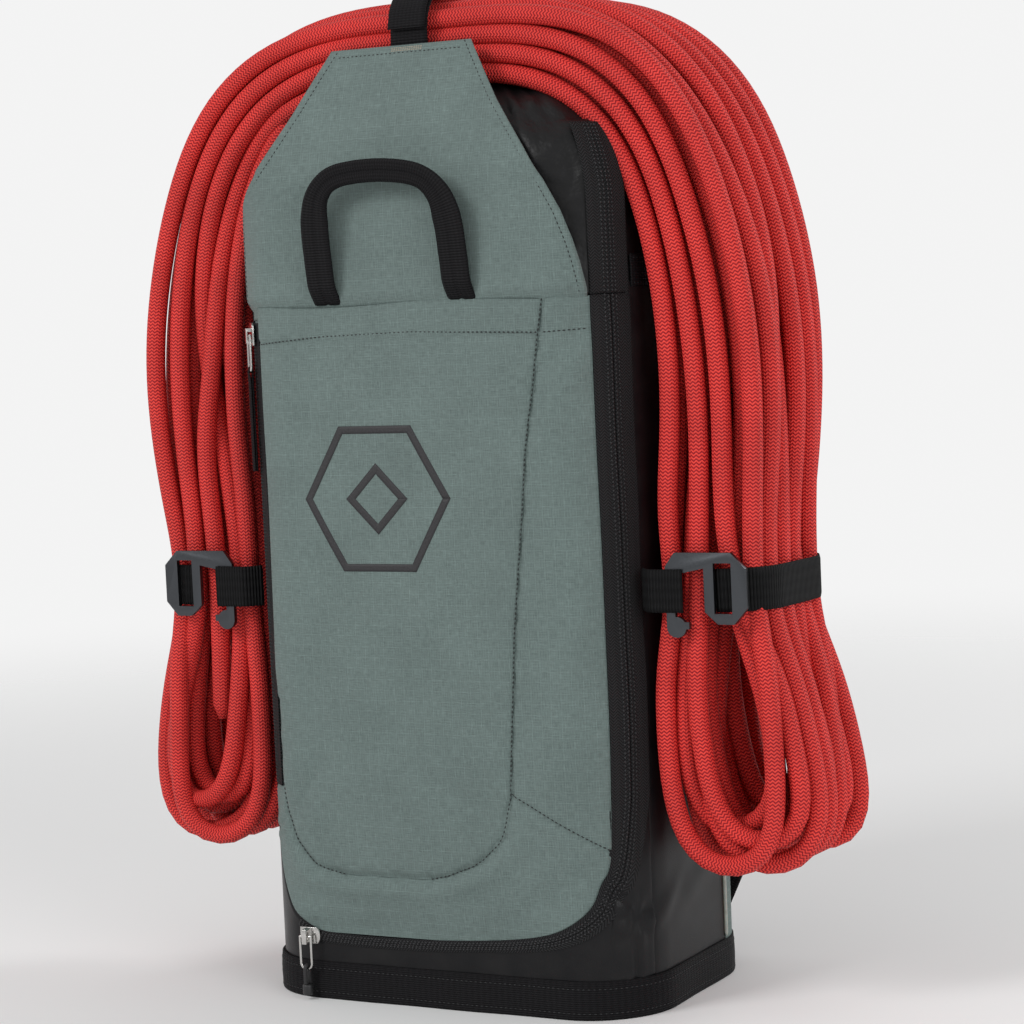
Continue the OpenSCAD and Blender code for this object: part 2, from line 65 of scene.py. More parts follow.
sight = Vector((
    -math.sin(CAMERA_TURN) * math.cos(CAMERA_DOWN),
    math.cos(CAMERA_TURN) * math.cos(CAMERA_DOWN),
    -math.sin(CAMERA_DOWN),
))
level = Vector((math.cos(CAMERA_TURN), math.sin(CAMERA_TURN), 0))
upright = level.cross(sight)
camera_right = level * math.cos(CAMERA_ROLL) + upright * math.sin(CAMERA_ROLL)
camera_up = upright * math.cos(CAMERA_ROLL) - level * math.sin(CAMERA_ROLL)
camera = bpy.data.objects.new("camera", bpy.data.cameras.new("camera"))
camera.data.lens = CAMERA_LENS
camera.data.sensor_width = 36
camera.data.clip_start = 0.05
camera.data.clip_end = 30
camera.matrix_world = Matrix.Translation(
    Vector((0, 0, AIM_HEIGHT)) - sight * CAMERA_DISTANCE + camera_right * AIM_ASIDE
) @ Matrix((camera_right, camera_up, -sight)).transposed().to_4x4()
bpy.context.scene.collection.objects.link(camera)
bpy.context.scene.camera = camera

FLOOR_SIZE = 12
floor_mesh = bpy.data.meshes.new("floor")
floor_mesh.from_pydata(
    [(x * FLOOR_SIZE, y * FLOOR_SIZE, 0) for x, y in ((-1, -1), (1, -1), (1, 1), (-1, 1))],
    [], [(0, 1, 2, 3)])
floor = bpy.data.objects.new("floor", floor_mesh)
bpy.context.scene.collection.objects.link(floor)
floor_paint = bpy.data.materials.new("floor_paint")
floor_paint.use_nodes = True
floor_nodes, floor_links = floor_paint.node_tree.nodes, floor_paint.node_tree.links
floor_shader = floor_nodes["Principled BSDF"]
floor_shader.inputs["Base Color"].default_value = (.84, .84, .84, 1)
floor_shader.inputs["Roughness"].default_value = 0.9
# The floor fades away with distance from the pack, so no horizon line shows
FADE_FROM, FADE_TO = 0.5, 2.2
fade = floor_nodes.new("ShaderNodeMapRange")
fade.interpolation_type = "SMOOTHSTEP"
for socket, value in (("From Min", FADE_FROM), ("From Max", FADE_TO), ("To Min", 1), ("To Max", 0)):
    fade.inputs[socket].default_value = value
reach_out = floor_nodes.new("ShaderNodeVectorMath")
reach_out.operation = "LENGTH"
floor_place = floor_nodes.new("ShaderNodeTexCoord")
floor_links.new(floor_place.outputs["Object"], reach_out.inputs[0])
floor_links.new(reach_out.outputs["Value"], fade.inputs["Value"])
floor_links.new(fade.outputs[0], floor_shader.inputs["Alpha"])
floor_mesh.materials.append(floor_paint)

# The surroundings look brighter to the camera than they light the pack
LIGHT_STRENGTH, SEEN_STRENGTH = 0.55, 0.9
world = bpy.data.worlds.new("studio")
world.use_nodes = True
sky_nodes, sky_links = world.node_tree.nodes, world.node_tree.links
sky_nodes["Background"].inputs["Color"].default_value = (1, 1, 1, 1)
light_path = sky_nodes.new("ShaderNodeLightPath")
brightness = sky_nodes.new("ShaderNodeMapRange")
brightness.inputs["To Min"].default_value = LIGHT_STRENGTH
brightness.inputs["To Max"].default_value = SEEN_STRENGTH
sky_links.new(light_path.outputs["Is Camera Ray"], brightness.inputs["Value"])
sky_links.new(brightness.outputs[0], sky_nodes["Background"].inputs["Strength"])
bpy.context.scene.world = world
bpy.context.scene.view_settings.view_transform = "Standard"


def soft_lamp(name, place, size, power):
    """A square lamp of that size in metres, turned to face the middle of the pack."""
    lamp = bpy.data.lights.new(name, "AREA")
    lamp.size = size
    lamp.energy = power
    holder = bpy.data.objects.new(name, lamp)
    holder.location = place
    facing = Vector((0, 0, 0.3)) - Vector(place)
    holder.rotation_euler = facing.to_track_quat("-Z", "Y").to_euler()
    bpy.context.scene.collection.objects.link(holder)


soft_lamp("key_lamp", (-1.1, -1.9, 1.7), 0.9, 27)
soft_lamp("fill_lamp", (2.1, -1.2, 1.0), 1.2, 14)
soft_lamp("rim_lamp", (1.4, 1.6, 1.6), 0.8, 16)

# ---- Rope ----
# A 12 mm kernmantle rope in one length, laid back and forth over the bag in butterfly loops and
# cinched at each side. Its braided sheath shows rows of zigzags in two reds.
ROPE_RADIUS = 6.0
ROPE_LAYERS = 4
ROPE_COLUMNS = 8
ROPE_PASSES = ROPE_LAYERS * ROPE_COLUMNS
WAIST_Z = 250
rng = np.random.default_rng(7)

# Centrelines of the innermost and outermost rope, from the top of the bag down its right side
inner_line = np.array([(0, 563.8), (60, 561), (100, 541), (126, 505), (141, 455), (148, 400),
                       (148, 345), (143, 295), (141, WAIST_Z)], float)
outer_line = np.array([(0, 595.4), (68, 594.5), (121, 580), (163, 543), (190, 484), (206, 415),
                       (207, 355), (201, 298), (200, WAIST_Z)], float)


def smooth_path(points, step):
    """Catmull-Rom curve through the points, as points about step apart.
    Each span is the usual cubic of its own two points and their neighbours."""
    points = np.asarray(points, float)
    ends = np.vstack([2 * points[0] - points[1], points, 2 * points[-1] - points[-2]])
    t = np.linspace(0, len(points) - 1, 24 * (len(points) - 1) + 1)
    i = np.minimum(t.astype(int), len(points) - 2)
    f = (t - i)[:, None]
    a, b, c, d = ends[i], ends[i + 1], ends[i + 2], ends[i + 3]
    curve = 0.5 * (2 * b + (c - a) * f + (2 * a - 5 * b + 4 * c - d) * f**2
                   + (3 * b - a - 3 * c + d) * f**3)
    return even_steps(curve, step)


def even_steps(curve, step):
    """The same curve with its points evenly spaced along its length, about step apart."""
    along = np.r_[0, np.cumsum(np.linalg.norm(np.diff(curve, axis=0), axis=1))]
    count = max(2, int(round(along[-1] / step)) + 1)
    wanted = np.linspace(0, along[-1], count)
    return np.stack([np.interp(wanted, along, curve[:, k]) for k in range(curve.shape[1])], axis=1)


def relax(path, rounds):
    """Moves every inner point half way to the middle of its neighbours, in place."""
    for settle in range(rounds):
        path[1:-1] += 0.25 * (path[:-2] + path[2:] - 2 * path[1:-1])


def pushed_apart(flat, spacing):
    """Moves of points in the same slice that lie closer than spacing: half the lack, each way."""
    apart = flat[:, :, None] - flat[:, None]
    length = np.linalg.norm(apart, axis=-1) + 1e-6
    lack = np.clip(spacing - length, 0, None)
    np.einsum("sii->si", lack)[:] = 0
    return (apart / length[..., None] * lack[..., None] * 0.5).sum(2)


# Stations down the right side and down the left side, joined at the top into one arch
STATIONS = 41
down = np.linspace(0, 1, STATIONS)
knots = np.linspace(0, 1, len(inner_line))


def eased(line):
    """A side's line at every station: a cubic through its knots, as whole arrays."""
    fine = smooth_path(np.c_[line, knots], 1.0)
    return np.stack([np.interp(down, fine[:, 2], fine[:, k]) for k in (0, 1)], axis=1)


inner_half, outer_half = eased(inner_line), eased(outer_line)
mirror = np.array([-1, 1])
inner_arch = np.vstack([(inner_half * mirror)[:0:-1], inner_half])
outer_arch = np.vstack([(outer_half * mirror)[:0:-1], outer_half])
depth_dir = outer_arch - inner_arch
layer_room = np.linalg.norm(depth_dir, axis=1)
depth_dir /= layer_room[:, None]
place = np.linspace(-1, 1, len(inner_arch))
ROW_FRONT, ROW_BACK = -50, 38
WAIST_FRONT, WAIST_BACK = -53, 35
near_waist = np.clip((np.abs(place) - 0.6) / 0.4, 0, 1) ** 2
front_limit = ROW_FRONT + (WAIST_FRONT - ROW_FRONT) * near_waist
back_limit = ROW_BACK + (WAIST_BACK - ROW_BACK) * near_waist

# Slots of each pass at its right and left ends, so that neighbours share a bight
passes = np.arange(ROPE_PASSES)
group, turn = passes // 4, passes % 4
right_layer = np.array([0, 3, 1, 2])[turn]
left_layer = np.array([1, 3, 0, 2])[turn]
left_column = np.where(turn == 0, group - 1, group)
left_column[0] = 0
right_slot = np.c_[right_layer / (ROPE_LAYERS - 1), group / (ROPE_COLUMNS - 1)]
left_slot = np.c_[left_layer / (ROPE_LAYERS - 1), left_column / (ROPE_COLUMNS - 1)]
mix = np.clip((place * 1.4 + 1) / 2, 0, 1)[:, None, None]
mix = mix * mix * (3 - 2 * mix)
slots = left_slot * (1 - mix) + right_slot * mix
flat = np.empty(slots.shape)
flat[..., 0] = slots[..., 0] * layer_room[:, None]
flat[..., 1] = front_limit[:, None] + slots[..., 1] * (back_limit - front_limit)[:, None]
# Each pass wanders: three slow waves of its own across and along the bundle, less at the waist
WANDER = 5.5
JITTER = 0.4
calm = 1 - near_waist[:, None, None] * 0.5
for wave in (1.2, 2.3, 3.7):
    phase = rng.uniform(0, 2 * math.pi, (1, ROPE_PASSES, 2))
    size = rng.normal(0, WANDER / wave, (1, ROPE_PASSES, 2))
    flat += size * np.sin(wave * math.pi * place[:, None, None] + phase) * calm
flat += rng.normal(0, JITTER, flat.shape)
# Neighbours keep the distance that fills each section with a honeycomb of ropes
HONEYCOMB = 1.1547
NEAREST, FARTHEST = 11.6, 14.4
SETTLE_ROUNDS = 240
wide = (back_limit - front_limit) + 2 * ROPE_RADIUS
fill_spacing = np.sqrt((layer_room + 2 * ROPE_RADIUS) * wide * HONEYCOMB / ROPE_PASSES)
spacing = np.clip(fill_spacing * 0.97, NEAREST, FARTHEST)[:, None, None]
for settle in range(SETTLE_ROUNDS):
    flat += pushed_apart(flat, spacing) * 0.7
    relax(flat, 1)
    flat[..., 0] = np.clip(flat[..., 0], 0, layer_room[:, None])
    flat[..., 1] = np.clip(flat[..., 1], front_limit[:, None], back_limit[:, None])
# The front ropes sink where the dome rounds off towards the front
front_drop = 9 * np.clip((-30 - flat[..., 1]) / 20, 0, 1) * (1 - np.abs(place[:, None])) ** 0.5
arches = np.empty(flat.shape[:2] + (3,))
arches[..., 0] = inner_arch[:, None, 0] + depth_dir[:, None, 0] * flat[..., 0]
arches[..., 1] = flat[..., 1]
arches[..., 2] = inner_arch[:, None, 1] + depth_dir[:, None, 1] * flat[..., 0] - front_drop

# Bights under each side strap: loops that swell out and turn back, the larger round the smaller
LOBE_X = 187
BIGHT_POINTS = 44


def bight(start, end, half, bottom, shift, lean):
    """A hanging loop from start to end: down, out to its half width, round its foot and up again.
    The foot is a half ellipse; lean slants the loop's plane about the upright."""
    side = 1 if start[0] > 0 else -1
    outer_first = abs(start[0]) > abs(end[0])
    centre = side * (LOBE_X + shift)
    swing = side * half * (1 if outer_first else -1)
    foot = bottom + half
    turn_angle = np.linspace(0, -math.pi, 9)[:, None]
    middle_y = (start[1] + end[1]) / 2
    arc = np.hstack([centre + swing * np.cos(turn_angle),
                     middle_y + lean * swing * np.cos(turn_angle) * side,
                     foot + half * np.sin(turn_angle)])
    upper = [start, start + (arc[0] - start) * (0.12, 0.1, 0.22)]
    lower = [end + (arc[-1] - end) * (0.12, 0.1, 0.22), end]
    shoulder = start + (arc[0] - start) * (0.66, 0.6, 0.6)
    far_shoulder = end + (arc[-1] - end) * (0.66, 0.6, 0.6)
    curve = smooth_path(np.vstack([*upper, shoulder, arc, far_shoulder, *lower]), 2.0)
    steps = np.linspace(0, len(curve) - 1, BIGHT_POINTS)
    return np.stack([np.interp(steps, np.arange(len(curve)), curve[:, k]) for k in range(3)], 1)


# Both ends of a bight stay on their passes, and its foot opens towards this radius
from_end = np.minimum(np.arange(BIGHT_POINTS), BIGHT_POINTS - 1 - np.arange(BIGHT_POINTS))
ease = np.clip(from_end / 5, 0, 1)
FOOT_RADIUS = 27
FOOT_FROM = 195
BIGHT_SPACING = 12.3
BIGHT_FRONT, BIGHT_BACK, BIGHT_LOW = -53, 37, 77.5
LOBE_IN, LOBE_OUT, LOBE_FLARE = 139.5, 201, 35


def settle_bights(loops, side):
    """Loops pushed apart until they lie side by side, each kept smooth and inside the lobe."""
    owner = np.repeat(np.arange(len(loops)), BIGHT_POINTS)
    foot_at = BIGHT_POINTS // 2
    foot_step = np.arange(1, foot_at - 3)
    for settle in range(90):
        points = loops.reshape(-1, 3)
        apart = points[:, None] - points[None]
        length = np.linalg.norm(apart, axis=-1) + 1e-6
        lack = np.where(owner[:, None] != owner[None], np.clip(BIGHT_SPACING - length, 0, None), 0)
        move = (apart / length[..., None] * lack[..., None]).sum(1) * 0.22
        loops = loops + move.reshape(loops.shape) * ease[None, :, None]
        bend = loops[:, :-2] + loops[:, 2:] - 2 * loops[:, 1:-1]
        loops[:, 1:-1] += 0.2 * bend * ease[None, 1:-1, None]
        one, other = loops[:, foot_at - foot_step], loops[:, foot_at + foot_step]
        between = one - other
        width = np.linalg.norm(between, axis=-1)
        stride = np.linalg.norm(np.diff(loops, axis=1), axis=-1).mean(1)[:, None]
        wanted = 2 * FOOT_RADIUS * np.sin(np.minimum(foot_step * stride / FOOT_RADIUS, math.pi / 2))
        short = np.clip(wanted - width, 0, None) * np.clip((FOOT_FROM - one[..., 2]) / 40, 0, 1)
        push = between / np.maximum(width, 1)[..., None] * short[..., None] * 0.45
        loops[:, foot_at - foot_step] += push
        loops[:, foot_at + foot_step] -= push
        loops[..., 1] = np.clip(loops[..., 1], BIGHT_FRONT, BIGHT_BACK)
        loops[..., 2] = np.maximum(loops[..., 2], BIGHT_LOW)
        flare = LOBE_OUT + LOBE_FLARE * np.clip((238 - loops[..., 2]) / 26, 0, 1)
        loops[..., 0] = side * np.clip(side * loops[..., 0], LOBE_IN, flare)
    return loops


SHIFTS = (-12, 7, 13, -6)


def side_bights(ends, pairs, side):
    """All the bights of one side, as one array, from the arches' ends and the pairs they join."""
    loops = []
    for number, (a, b) in enumerate(pairs):
        large = abs(ends[a][0] - ends[b][0]) > 30
        half = rng.uniform(36, 42) if large else rng.uniform(24, 29)
        bottom = rng.uniform(10, 28) if large else rng.uniform(42, 74)
        shift = SHIFTS[number % 4] + rng.uniform(-3, 3)
        loops.append(bight(ends[a], ends[b], half, bottom, shift, rng.uniform(-0.3, 0.3)))
    return settle_bights(np.array(loops), side)


right_pairs = [(k, k + 1) for k in range(0, ROPE_PASSES, 2)]
left_pairs = [(k, k + 1) for k in range(1, ROPE_PASSES - 1, 2)]
right_bights = side_bights(arches[-1], right_pairs, 1)
left_bights = side_bights(arches[0], left_pairs, -1)

# One route from end to end: up from the left tail, over, round a bight, back over, and so on
tail_drop = np.linspace(1, 0, 8)[:-1, None]
first_tail = arches[0][0] + tail_drop * np.array([-6, 5, -86])
last_tail = arches[0][-1] + tail_drop[::-1] * np.array([-14, -4, -92])
route = [first_tail]
for k in range(ROPE_PASSES):
    rightward = k % 2 == 0
    route.append(arches[:, k] if rightward else arches[::-1, k])
    if rightward:
        route.append(right_bights[k // 2][1:-1])
    elif k < ROPE_PASSES - 1:
        route.append(left_bights[k // 2][1:-1])
route.append(last_tail)
rope_path = even_steps(np.vstack(route), 10.0)
relax(rope_path, 3)

# The side straps cinch each waist into a rounded rectangle, so corner strands are drawn in
WAIST = np.array([171, -9], float)
CORE_X, CORE_Y, CORE_CORNER = 13, 27, 17
waist_x = np.abs(rope_path[:, 0]) - WAIST[0]
waist_y = rope_path[:, 1] - WAIST[1]
over_x, over_y = np.abs(waist_x) - CORE_X, np.abs(waist_y) - CORE_Y
excess = np.hypot(np.maximum(over_x, 0), np.maximum(over_y, 0)) - CORE_CORNER
cinch = np.clip((46 - np.abs(rope_path[:, 2] - WAIST_Z)) / 30, 0, 1) * (np.abs(rope_path[:, 0]) > 125)
draw = np.maximum(excess, 0) * cinch / np.maximum(excess + CORE_CORNER, 1)
rope_path[:, 0] -= np.sign(rope_path[:, 0]) * np.sign(waist_x) * np.maximum(over_x, 0) * draw
rope_path[:, 1] -= np.sign(waist_y) * np.maximum(over_y, 0) * draw
relax(rope_path, 6)
rope_path = even_steps(rope_path, 9.0)


def shaped(name, points, faces, uv=None, material=None):
    """A smooth-shaded piece from points in millimetres, four-sided or other faces, and the
    UV place in metres of every face corner. Its object stays at the origin."""
    mesh = bpy.data.meshes.new(name)
    mesh.from_pydata(np.asarray(points, float) * MM, [], faces)
    if uv is not None:
        mesh.uv_layers.new(name="cloth").data.foreach_set("uv", np.asarray(uv, np.float32).ravel() * MM)
    mesh.polygons.foreach_set("use_smooth", np.ones(len(mesh.polygons), bool))
    piece = bpy.data.objects.new(name, mesh)
    bpy.context.scene.collection.objects.link(piece)
    if material is not None:
        mesh.materials.append(material)
    return piece


def placed(piece, body, slot, *nodes):
    """The piece, riding on its body and standing for the CAD nodes named; slot is not used."""
    if body:
        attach(piece, body)
    if nodes:
        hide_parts(*nodes)
    return piece


def loft(name, rings, across, along, material, capped=True):
    """Rings (n, m, 3) joined into a closed tube. across is the UV place round a ring, m + 1 long,
    and along the UV place of each ring. A fan of one face closes each end."""
    n, m = rings.shape[:2]
    i, j = np.meshgrid(np.arange(n - 1), np.arange(m), indexing="ij")
    k = (j + 1) % m
    quads = np.stack([i * m + j, i * m + k, (i + 1) * m + k, (i + 1) * m + j], -1).reshape(-1, 4)
    uv = np.stack([
        np.stack([across[j], along[i]], -1), np.stack([across[j + 1], along[i]], -1),
        np.stack([across[j + 1], along[i + 1]], -1), np.stack([across[j], along[i + 1]], -1),
    ], 2).reshape(-1, 2)
    faces = quads.tolist()
    if capped:
        faces += [list(range(m))[::-1], list(range((n - 1) * m, n * m))]
        flat_cap = np.tile([[across[0], along[0]]], (m, 1))
        uv = np.vstack([uv, flat_cap, flat_cap])
    return shaped(name, rings.reshape(-1, 3), faces, uv, material)


def path_lengths(path):
    """Distance along the path at each of its points."""
    return np.r_[0, np.cumsum(np.linalg.norm(np.diff(path, axis=0), axis=1))]


def directions(path):
    """Unit tangents of a path, by central differences."""
    tangent = np.gradient(path, axis=0)
    return tangent / np.linalg.norm(tangent, axis=1)[:, None]


def material_nodes(name, roughness, **settings):
    """A Principled material and four makers of its nodes: add, bump, into and shade.
    Uniform numbers go on the shader's own sockets."""
    material = bpy.data.materials.new(name)
    material.use_nodes = True
    tree = material.node_tree
    shader = tree.nodes["Principled BSDF"]
    shader.inputs["Roughness"].default_value = roughness
    for socket, value in settings.items():
        shader.inputs[socket.replace("_", " ")].default_value = value

    def add(kind, inputs=(), **fields):
        node = tree.nodes.new("ShaderNode" + kind)
        for field, value in fields.items():
            setattr(node, field, value)
        for number, value in enumerate(inputs):
            if value is None:
                continue
            if isinstance(value, bpy.types.NodeSocket):
                tree.links.new(value, node.inputs[number])
            else:
                node.inputs[number].default_value = value
        return node.outputs[0]

    def bump(height, distance, normal=None):
        node = tree.nodes.new("ShaderNodeBump")
        node.inputs["Strength"].default_value = 1
        node.inputs["Distance"].default_value = distance
        tree.links.new(height, node.inputs["Height"])
        if normal is not None:
            tree.links.new(normal, node.inputs["Normal"])
        return node.outputs[0]

    def into(socket, value):
        tree.links.new(value, shader.inputs[socket])

    def shade(colour, factor):
        into("Base Color", add("VectorMath", [colour, None, None, factor], operation="SCALE"))

    return material, add, bump, into, shade


def rope_sheath():
    """Zigzag rows: a row number that rises along the rope and swings with a triangle wave round it."""
    material, add, bump, into, shade = material_nodes("rope_sheath", 0.62, Specular_IOR_Level=0.3)
    uv = add("UVMap", uv_map="cloth")
    split = add("SeparateXYZ", [uv]).node
    strands, row_pitch = 11, 0.0021
    around = add("Math", [split.outputs[0], strands / (2 * math.pi * ROPE_RADIUS * MM)],
                 operation="MULTIPLY")
    wave = add("Math", [around, 0.5], operation="PINGPONG")
    swing = add("Math", [wave, 1.15], operation="MULTIPLY")
    row = add("Math", [split.outputs[1], 1 / row_pitch, swing], operation="MULTIPLY_ADD")
    stripe = add("Math", [row, 0.5], operation="PINGPONG")
    light = add("MapRange", [stripe, 0.14, 0.36, 0.0, 1.0], interpolation_type="SMOOTHSTEP")
    plait = add("Math", [around, 0.25], operation="PINGPONG")
    cloud = add("TexNoise", [add("TexCoord").node.outputs["Object"], None, 30.0, 3.0])
    dark_red, light_red = (0.33, 0.005, 0.011, 1), (0.92, 0.064, 0.048, 1)
    colour = add("Mix", [light] + [None] * 5 + [dark_red, light_red], data_type="RGBA").node
    shade(colour.outputs[2], add("MapRange", [cloud, 0.3, 0.7, 0.88, 1.08]))
    relief = add("Math", [stripe, plait], operation="ADD")
    into("Normal", bump(relief, 0.0009))
    return material


def rope_tube(name, path, radius, sides, material):
    """A round tube: rings turned about the path, square to it, with the Y axis as their guide.
    The two end rings shrink, which rounds the cut ends."""
    tangent = directions(path)
    first = np.cross(tangent, (0, 1, 0))
    first /= np.linalg.norm(first, axis=1)[:, None]
    second = np.cross(tangent, first)
    angle = np.arange(sides) * 2 * math.pi / sides
    round_ring = radius * (first[:, None] * np.cos(angle)[None, :, None]
                           + second[:, None] * np.sin(angle)[None, :, None])
    shrink = np.ones(len(path))
    shrink[[0, -1]] = 0.45
    rings = path[:, None] + round_ring * shrink[:, None, None]
    across = np.arange(sides + 1) / sides * 2 * math.pi * radius
    return loft(name, rings, across, path_lengths(path), material)


rope = placed(rope_tube("climbing_rope", rope_path, ROPE_RADIUS, 10, rope_sheath()), "pack", "rope_sheath",
              "rope_over_top", "rope_hank_right", "rope_hank_left")

# ---- Tarpaulin walls ----
# The lower front, both sides and the base are coated polyester tarpaulin, cut in panels and sewn.
# The filled bag pushes them out softly, and they crease where the corner seam is gathered.
band_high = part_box("base_band")[1]
BAND_THICK = 3
HALF_W = band_high.x / MM - BAND_THICK
HALF_D = band_high.y / MM - BAND_THICK
CORNER = 46
FRONT_END = HALF_W - CORNER
SIDE_START = FRONT_END + CORNER * math.pi / 2
SIDE_END = SIDE_START + 2 * (HALF_D - CORNER)
BACK_START = SIDE_END + CORNER * math.pi / 2
BACK_MIDDLE = BACK_START + FRONT_END
SEWN_HEIGHT = 428


def wall(s, half_w=HALF_W, half_d=HALF_D, corner=CORNER):
    """Plan of the bag: s runs round it from the middle of the front, positive to the right.
    A straight front, a quarter circle, a straight side, another quarter circle and the back."""
    a = np.abs(s)
    front = half_w - corner
    side = front + corner * math.pi / 2
    rear = side + 2 * (half_d - corner)
    first = np.clip((a - front) / corner, 0, math.pi / 2)
    second = np.clip((a - rear) / corner, 0, math.pi / 2)
    run = np.clip(a - side, 0, 2 * (half_d - corner))
    back = np.clip(a - rear - corner * math.pi / 2, 0, front)
    x = np.minimum(a, front) + corner * np.sin(first) - corner * (1 - np.cos(second)) - back
    y = -half_d + corner * (1 - np.cos(first)) + run + corner * np.sin(second)
    turn = first + second
    return x * np.sign(s), y, np.sin(turn) * np.sign(s), -np.cos(turn)


# Soft creases: place round the wall, height, slant in degrees, half length, half width, rise
CREASES = [
    (-30, 375, 84, 26, 7, .9), (30, 380, 96, 30, 8, .8), (-70, 360, 70, 34, 8, -.7),
    (8, 250, 62, 50, 14, .9), (-75, 190, 70, 60, 12, -.9), (20, 130, -28, 30, 7, -1.1),
    (-20, 150, 20, 50, 12, .8), (95, 385, 50, 34, 7, -1.2), (88, 350, 62, 40, 9, 1.0),
    (92, 190, 80, 60, 10, .8), (-98, 140, 64, 26, 6, 1.1), (-86, 128, 58, 22, 5, -1.2),
    (75, 84, 32, 36, 7, 1.2), (-20, 58, 3, 70, 6, .8), (170, 330, 86, 60, 10, .9),
    (190, 180, 80, 60, 14, -1.1), (150, 60, 35, 24, 6, 1.2), (112, 62, -40, 18, 5, 1.3),
    (200, 70, 20, 40, 9, .9), (-185, 150, 95, 70, 12, 1.0), (-160, 330, 84, 60, 10, .8),
    (0, 480, 82, 60, 12, .8), (-60, 500, 60, 46, 10, -.8), (45, 470, 108, 40, 9, .8),
    (-100, 450, 74, 40, 9, .9),
]
FRONT_SWELL, SIDE_SWELL = 3.4, 2.2
POCKET_ZIP_S = -121.5
FOOT_ZIP_Z = 39


def fullness(s, z):
    """How far the filled bag pushes a wall out: a broad swell on the front and on each side,
    Gaussian creases as listed, and slow waves across the cloth. It lies flat along both zips
    that a slider runs on."""
    rise = np.sin(math.pi * np.clip((z - 12) / 470, 0, 1)) ** 0.8
    swell = rise * (FRONT_SWELL * np.exp(-(s / 98) ** 4)
                    + SIDE_SWELL * np.exp(-((np.abs(s) - 196) / 38) ** 4))
    for s0, z0, slant, long, wide, height in CREASES:
        c, k = math.cos(math.radians(slant)), math.sin(math.radians(slant))
        along, aside = (s - s0) * c + (z - z0) * k, (z - z0) * c - (s - s0) * k
        deep = 1.5 * height if z0 < 400 else height
        swell = swell + deep * np.exp(-(along / long) ** 2 - (aside / wide) ** 2)
    ripple = np.sin(s / 13.7 + z / 41) + np.sin(z / 17.3 - s / 29 + 1.7)
    swell = swell + rise * 0.35 * ripple * np.clip((BACK_START - np.abs(s)) / 60, 0, 1)
    pocket_track = np.exp(-((s - POCKET_ZIP_S) / 13) ** 4) * (z < 423)
    foot_track = np.exp(-((z - FOOT_ZIP_Z) / 9) ** 4)
    foot_track = foot_track * np.clip((66 - s) / 14, 0, 1) * np.clip((s + 112) / 12, 0, 1)
    return swell * (1 - pocket_track) * (1 - foot_track)


def skin(s, z, out):
    """Points of a layer out millimetres off the bag's wall, fullness included."""
    x, y, nx, ny = wall(s)
    reach = out + fullness(s, z)
    return np.stack([x + nx * reach, y + ny * reach, z + 0 * x], -1)


def slab(name, front, back, uv_u, uv_v, material):
    """A closed sheet from two grids (rows, columns, 3): front faces, back faces and a rim.
    Rows run upwards and columns to the right, as seen from outside."""
    n, m = front.shape[:2]
    index = np.arange(n * m).reshape(n, m)
    a, b, c, d = index[:-1, :-1], index[:-1, 1:], index[1:, 1:], index[1:, :-1]
    face = np.stack([a, b, c, d], -1).reshape(-1, 4)
    border = np.concatenate([index[0, :-1], index[:-1, -1], index[-1, :0:-1], index[:0:-1, 0]])
    follow = np.roll(border, -1)
    rim = np.stack([follow, border, border + n * m, follow + n * m], -1)
    faces = np.vstack([face, face[:, ::-1] + n * m, rim])
    uv = np.stack([uv_u, uv_v], -1).reshape(-1, 2)
    corner_uv = uv[faces.ravel() % (n * m)]
    points = np.vstack([front.reshape(-1, 3), back.reshape(-1, 3)])
    return shaped(name, points, faces.tolist(), corner_uv, material)


def panel(name, s, z, out, thick, material, body, slot, *nodes):
    """A wall panel over the grid s, z: a slab whose outer face is out off the wall."""
    piece = slab(name, skin(s, z, out), skin(s, z, out - thick), s, z, material)
    return placed(piece, body, slot, *nodes)


def spread(rows, left, right, columns):
    """A grid of s and z: each row of height z runs evenly from left to right."""
    t = np.linspace(0, 1, columns)[None]
    left, right = np.broadcast_to(left, rows.shape), np.broadcast_to(right, rows.shape)
    return left[:, None] + (right - left)[:, None] * t, rows[:, None] + 0 * t


def paint_node(node, material):
    """Gives a CAD node that is seen as it is one new material."""
    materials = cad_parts[node].data.materials
    materials.clear()
    materials.append(material)


def tarpaulin():
    """Satin coating over a plain weave: a faint grain, smooth scuffs and soft reflections."""
    material, add, bump, into, shade = material_nodes("tarpaulin", 0.34, Specular_IOR_Level=0.22)
    uv = add("UVMap", uv_map="cloth")
    grain = add("TexNoise", [uv, None, 1400.0, 2.0])
    scuff = add("TexNoise", [uv, None, 55.0, 4.0])
    tone = add("ValToRGB", [add("MapRange", [scuff, 0.35, 0.7, 0.0, 1.0])]).node
    tone.color_ramp.elements[0].color = (0.006, 0.006, 0.007, 1)
    tone.color_ramp.elements[1].color = (0.011, 0.0105, 0.011, 1)
    into("Base Color", tone.outputs[0])
    into("Roughness", add("MapRange", [scuff, 0.3, 0.75, 0.30, 0.42]))
    into("Normal", bump(grain, 0.00012))
    return material


